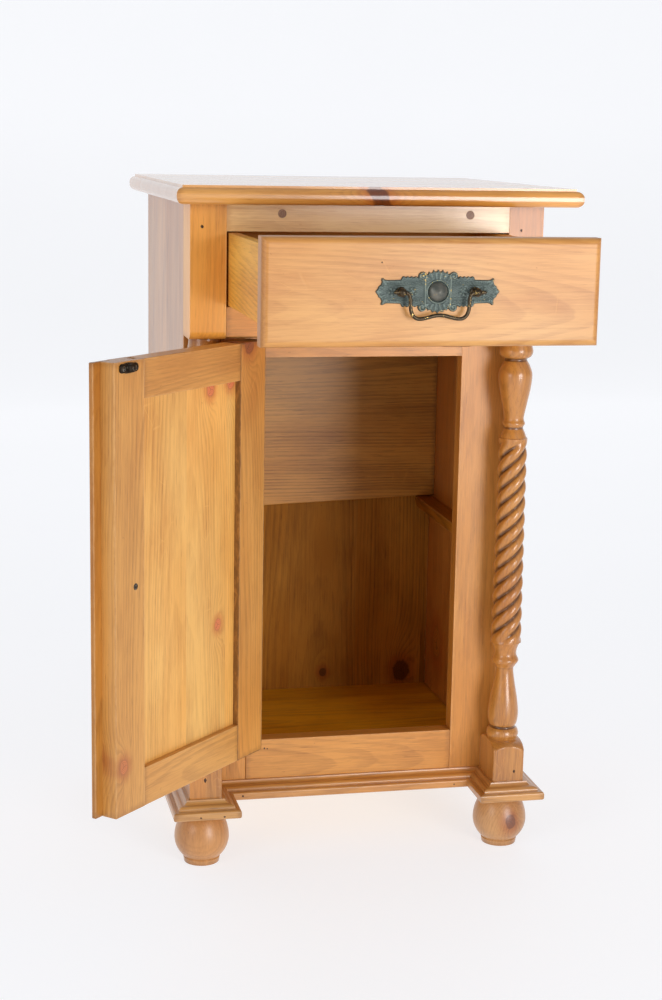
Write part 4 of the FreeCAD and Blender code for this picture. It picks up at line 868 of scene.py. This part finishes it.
def make_bail(material):
    """The swinging bail: a wire bent round through both eyes, with a little swell in its grip."""
    low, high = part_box("pull_bail")
    middle_x, middle_y, hinge_z = (low.x + high.x) / 2, (low.y + high.y) / 2, high.z - 1.9 * MM
    right = [(46.4, 0), (43.0, 0), (38.0, 0), (33.6, -0.3), (30.9, -2.2), (29.7, -6.0), (29.4, -11.0),
             (29.0, -16.5), (27.0, -21.8), (23.2, -24.9), (18.6, -25.4), (12.0, -24.2), (6.0, -22.6)]
    bends = [(-x, z) for x, z in right] + [(0.0, -22.0)] + right[::-1]
    line = smooth_line([Vector((middle_x + x * MM, middle_y, hinge_z + z * MM)) for x, z in bends], 8)

    def radius_at(share):
        grip = 0.048 * bump_at(share, 0.5, 0.16)
        uneven = 0.006 * math.sin(share * 61) * math.sin(share * 23)
        tip = 1.0 if 0.012 < share < 0.988 else 0.55
        return (1.84 + grip + uneven) * tip * MM

    points, faces = rings_mesh(sweep(line, radius_at, Y))
    piece = make_piece("wire_bail", points, faces, material, "bail")
    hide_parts("pull_bail")


def make_eye_collars(material):
    """A small turned collar where each eye bolt meets the plate."""
    low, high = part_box("pull_eye_bolts")
    plate_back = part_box("pull_plate")[1].y
    middle_z = (low.z + high.z) / 2
    profile = [(2.1, 1.0), (4.4, 1.0), (4.9, 1.6), (4.9, 2.2), (4.2, 2.7), (3.4, 3.0), (3.0, 3.6),
               (2.1, 4.2)]
    for side, x in (("left", low.x + 4.3 * MM), ("right", high.x - 4.3 * MM)):
        points, faces = rings_mesh(lathe(profile, (x, plate_back, middle_z), -Y, 28))
        make_piece("eye_collar_" + side, points, faces, material, "drawer")


# ---------------------------------------------------------------- catch and small marks
def door_point(origin, s, t, z):
    """A point on the open door: origin plus mm along it, mm out of its inner face, mm up."""
    return Vector(origin) + S * s * MM + T * t * MM + Z * z * MM


def make_catch(material, screw):
    """The cast catch on the door's inner face: two screwed ears and a raised, rounded middle."""
    points = [v.co for v in NODES["door_catch"].data.vertices]
    turn = Matrix((S, T, Z))
    centre, half = local_box(points, turn)
    back = turn.transposed() @ (centre - Vector((0, half.y, 0)))
    rows, ring_count = [], 48
    # each section is its mm out of the door and its share of the full width and height
    sections = ((0.0, 1.0, 1.0), (1.2, 1.0, 1.0), (2.2, 0.97, 0.93), (2.9, 0.93, 0.84), (3.1, 0.6, 0.7),
                (3.5, 0.36, 0.8), (5.6, 0.34, 0.78), (6.5, 0.31, 0.7), (7.0, 0.24, 0.52))
    for out, wide, tall in sections:
        ring = []
        for k in range(ring_count):
            angle = 2 * math.pi * k / ring_count
            c, s = math.cos(angle), math.sin(angle)
            waist = 1 - 0.16 * bump_at(abs(c), 0.35, 0.2) if wide > 0.8 else 1.0
            x = math.copysign(abs(c) ** 0.55, c) * half.x / MM * wide
            z = math.copysign(abs(s) ** 0.6, s) * half.z / MM * tall * waist
            ring.append(door_point(back, x, out, z))
        rows.append(ring)
    points, faces = rings_mesh(rows)
    piece = make_piece("iron_catch", points, faces, material, "door")
    sharpen(piece, 50.0)
    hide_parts("door_catch")
    for side, offset, roll in (("a", 10.2, 0.5), ("b", -10.2, 1.3)):
        place = door_point(back, offset, 2.6, 0)
        make_screw("catch_screw_" + side, place, T, 3.1, 1.7, roll, screw, "door")


def make_screw(name, place, axis, radius, rise, roll, material, body):
    """A domed screw head with a slot across it."""
    side = axis.orthogonal().normalized()
    other = axis.cross(side)
    rings, turns = [], 48
    for k in range(11):
        share = k / 10
        reach = radius * math.cos(share * math.pi / 2 * 0.96)
        height = rise * math.sin(share * math.pi / 2)
        ring = []
        for j in range(turns):
            angle = 2 * math.pi * j / turns
            x, y = reach * math.cos(angle), reach * math.sin(angle)
            across = -x * math.sin(roll) + y * math.cos(roll)
            drop = min(0.75, height) if abs(across) < radius * 0.13 else 0.0
            ring.append(Vector(place) + (side * x + other * y + axis * (height - drop)) * MM)
        rings.append(ring)
    points, faces = rings_mesh(rings)
    piece = make_piece(name, points, faces, material, body)
    sharpen(piece, 30.0)


def make_nail_marks(material):
    """Filled nail holes and old punch marks, each a shallow dark plug a hair above the wood."""
    # board, m from its left end (or back from its right), m over the floor (or down from the board's
    # top), and half width and half height in mm
    marks = [
        ("upper_post_left", 0.013, -0.026, 1.5, 1.8),
        ("upper_post_right", 0.014, -0.028, 1.3, 1.5),
        ("column_left", 0.019, 0.107, 1.5, 2.4),
        ("column_right", 0.0265, 0.0965, 1.3, 1.9),
        ("plinth_block_left", 0.031, 0.0695, 1.3, 0.9),
        ("plinth_block_left", 0.058, 0.0693, 1.2, 0.9),
        ("plinth_front", 0.031, 0.0712, 1.2, 1.2),
        ("plinth_front", -0.036, 0.0706, 1.0, 0.9),
        ("bottom_rail", 0.0225, -0.011, 0.9, 1.3),
        ("bottom_rail", 0.026, -0.0115, 0.7, 1.1),
        ("drawer_front", 0.117, -0.024, 0.8, 0.8),
    ]
    turns = 20
    for number, (node, across, up, wide, tall) in enumerate(marks):
        low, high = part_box(node)
        x = (low if across > 0 else high).x + across
        z = up if up > 0 else high.z + up
        body = "drawer" if node == "drawer_front" else "carcass"
        rng = random.Random(number)
        shape = [1 + 0.22 * rng.uniform(-1, 1) for k in range(turns)]
        rings = []
        for reach, out in ((1.0, -0.4), (1.0, 0.05), (0.7, 0.1), (0.25, 0.12)):
            ring = []
            for k in range(turns):
                angle, size = 2 * math.pi * k / turns, reach * shape[k] * MM
                ring.append(Vector((x + wide * size * math.cos(angle), low.y - out * MM,
                                    z + tall * size * math.sin(angle))))
            rings.append(ring)
        points, faces = rings_mesh(rings)
        make_piece(f"nail_mark_{number:02d}", points, faces, material, body)


# ---------------------------------------------------------------- studio
CAMERA_PLACE = (-0.43493, -2.06226, 0.83775)
CAMERA_YAW, CAMERA_PITCH, CAMERA_ROLL = 12.52, 11.2, 1.04  # degrees
LENS, SENSOR = 67.1, 36.0  # mm
SOFT_WHITE = (0.96, 0.97, 1.0, 1.0)


def make_camera():
    yaw, pitch, roll = [math.radians(v) for v in (CAMERA_YAW, CAMERA_PITCH, CAMERA_ROLL)]
    forward = Vector((math.sin(yaw) * math.cos(pitch), math.cos(yaw) * math.cos(pitch), -math.sin(pitch)))
    level = Vector((math.cos(yaw), -math.sin(yaw), 0))
    upright = level.cross(forward)
    right = math.cos(roll) * level + math.sin(roll) * upright
    up = -math.sin(roll) * level + math.cos(roll) * upright
    data = bpy.data.cameras.new("camera")
    data.lens = LENS
    data.sensor_width = SENSOR
    camera = add_object("camera", data)
    turn = Matrix((right, up, -forward)).transposed().to_4x4()
    camera.matrix_world = Matrix.Translation(CAMERA_PLACE) @ turn
    bpy.context.scene.camera = camera


def make_stage():
    """A pale floor that sweeps up into the backdrop."""
    near, far, rise, bend, half_width = -14.0, 4.4, 6.0, 0.9, 12.0
    below = 0.0004  # the feet stand this far above the paper
    profile = [(near, 0.0), (far - bend, 0.0)]
    steps = 16
    for i in range(1, steps + 1):
        angle = math.pi / 2 * i / steps
        profile.append((far - bend + bend * math.sin(angle), bend - bend * math.cos(angle)))
    profile.append((far, rise))
    mesh = bmesh.new()
    rows = [[mesh.verts.new((x, y, z - below)) for y, z in profile] for x in (-half_width, half_width)]
    for i in range(len(profile) - 1):
        face = mesh.faces.new((rows[0][i], rows[1][i], rows[1][i + 1], rows[0][i + 1]))
        face.smooth = True
    data = bpy.data.meshes.new("sweep")
    mesh.to_mesh(data)
    mesh.free()
    sweep = add_object("sweep", data)
    material, g, place = new_material("paper")
    colour = g.mix(g.pattern(place, 3.0, 2.0), (0.33, 0.333, 0.338, 1.0), (0.35, 0.353, 0.358, 1.0))
    g.surface(colour, 0.7, {"Emission Color": SOFT_WHITE, "Emission Strength": 0.7})
    data.materials.append(material)


def add_light(name, place, aim, width, height, power):
    """A soft rectangular lamp that isn't seen itself. Sizes are in metres and power in watts."""
    data = bpy.data.lights.new(name, "AREA")
    data.shape = "RECTANGLE"
    data.size, data.size_y = width, height
    data.energy = power
    light = add_object(name, data)
    light.location = place
    light.rotation_mode = "QUATERNION"
    light.visible_camera = False
    light.rotation_quaternion = (Vector(aim) - Vector(place)).to_track_quat("-Z", "Y")


def make_lights():
    add_light("key", (1.12, -2.67, 0.65), (0.0, 0.0, 0.4), 1.05, 1.2, 41)
    add_light("fill", (-2.3, -1.9, 1.2), (0.0, 0.0, 0.45), 1.2, 1.6, 19)
    world = bpy.data.worlds.new("studio")
    world.use_nodes = True
    bpy.context.scene.world = world
    g = Graph(world.node_tree)
    shade = g.add("Background", {"Color": SOFT_WHITE, "Strength": 0.42})
    g.add("OutputWorld", {"Surface": shade.outputs[0]})
    bpy.context.scene.view_settings.view_transform = "Standard"


dress_boards()
IRON, WIRE, SCREW = dress_metal()
make_column("column_left", -1)
make_column("column_right", 1)
make_pull_plate(cast_metal("green_cast"))
make_bail(WIRE)
make_eye_collars(WIRE)
make_catch(IRON, SCREW)
make_nail_marks(wax_filler())
make_camera()
make_stage()
make_lights()
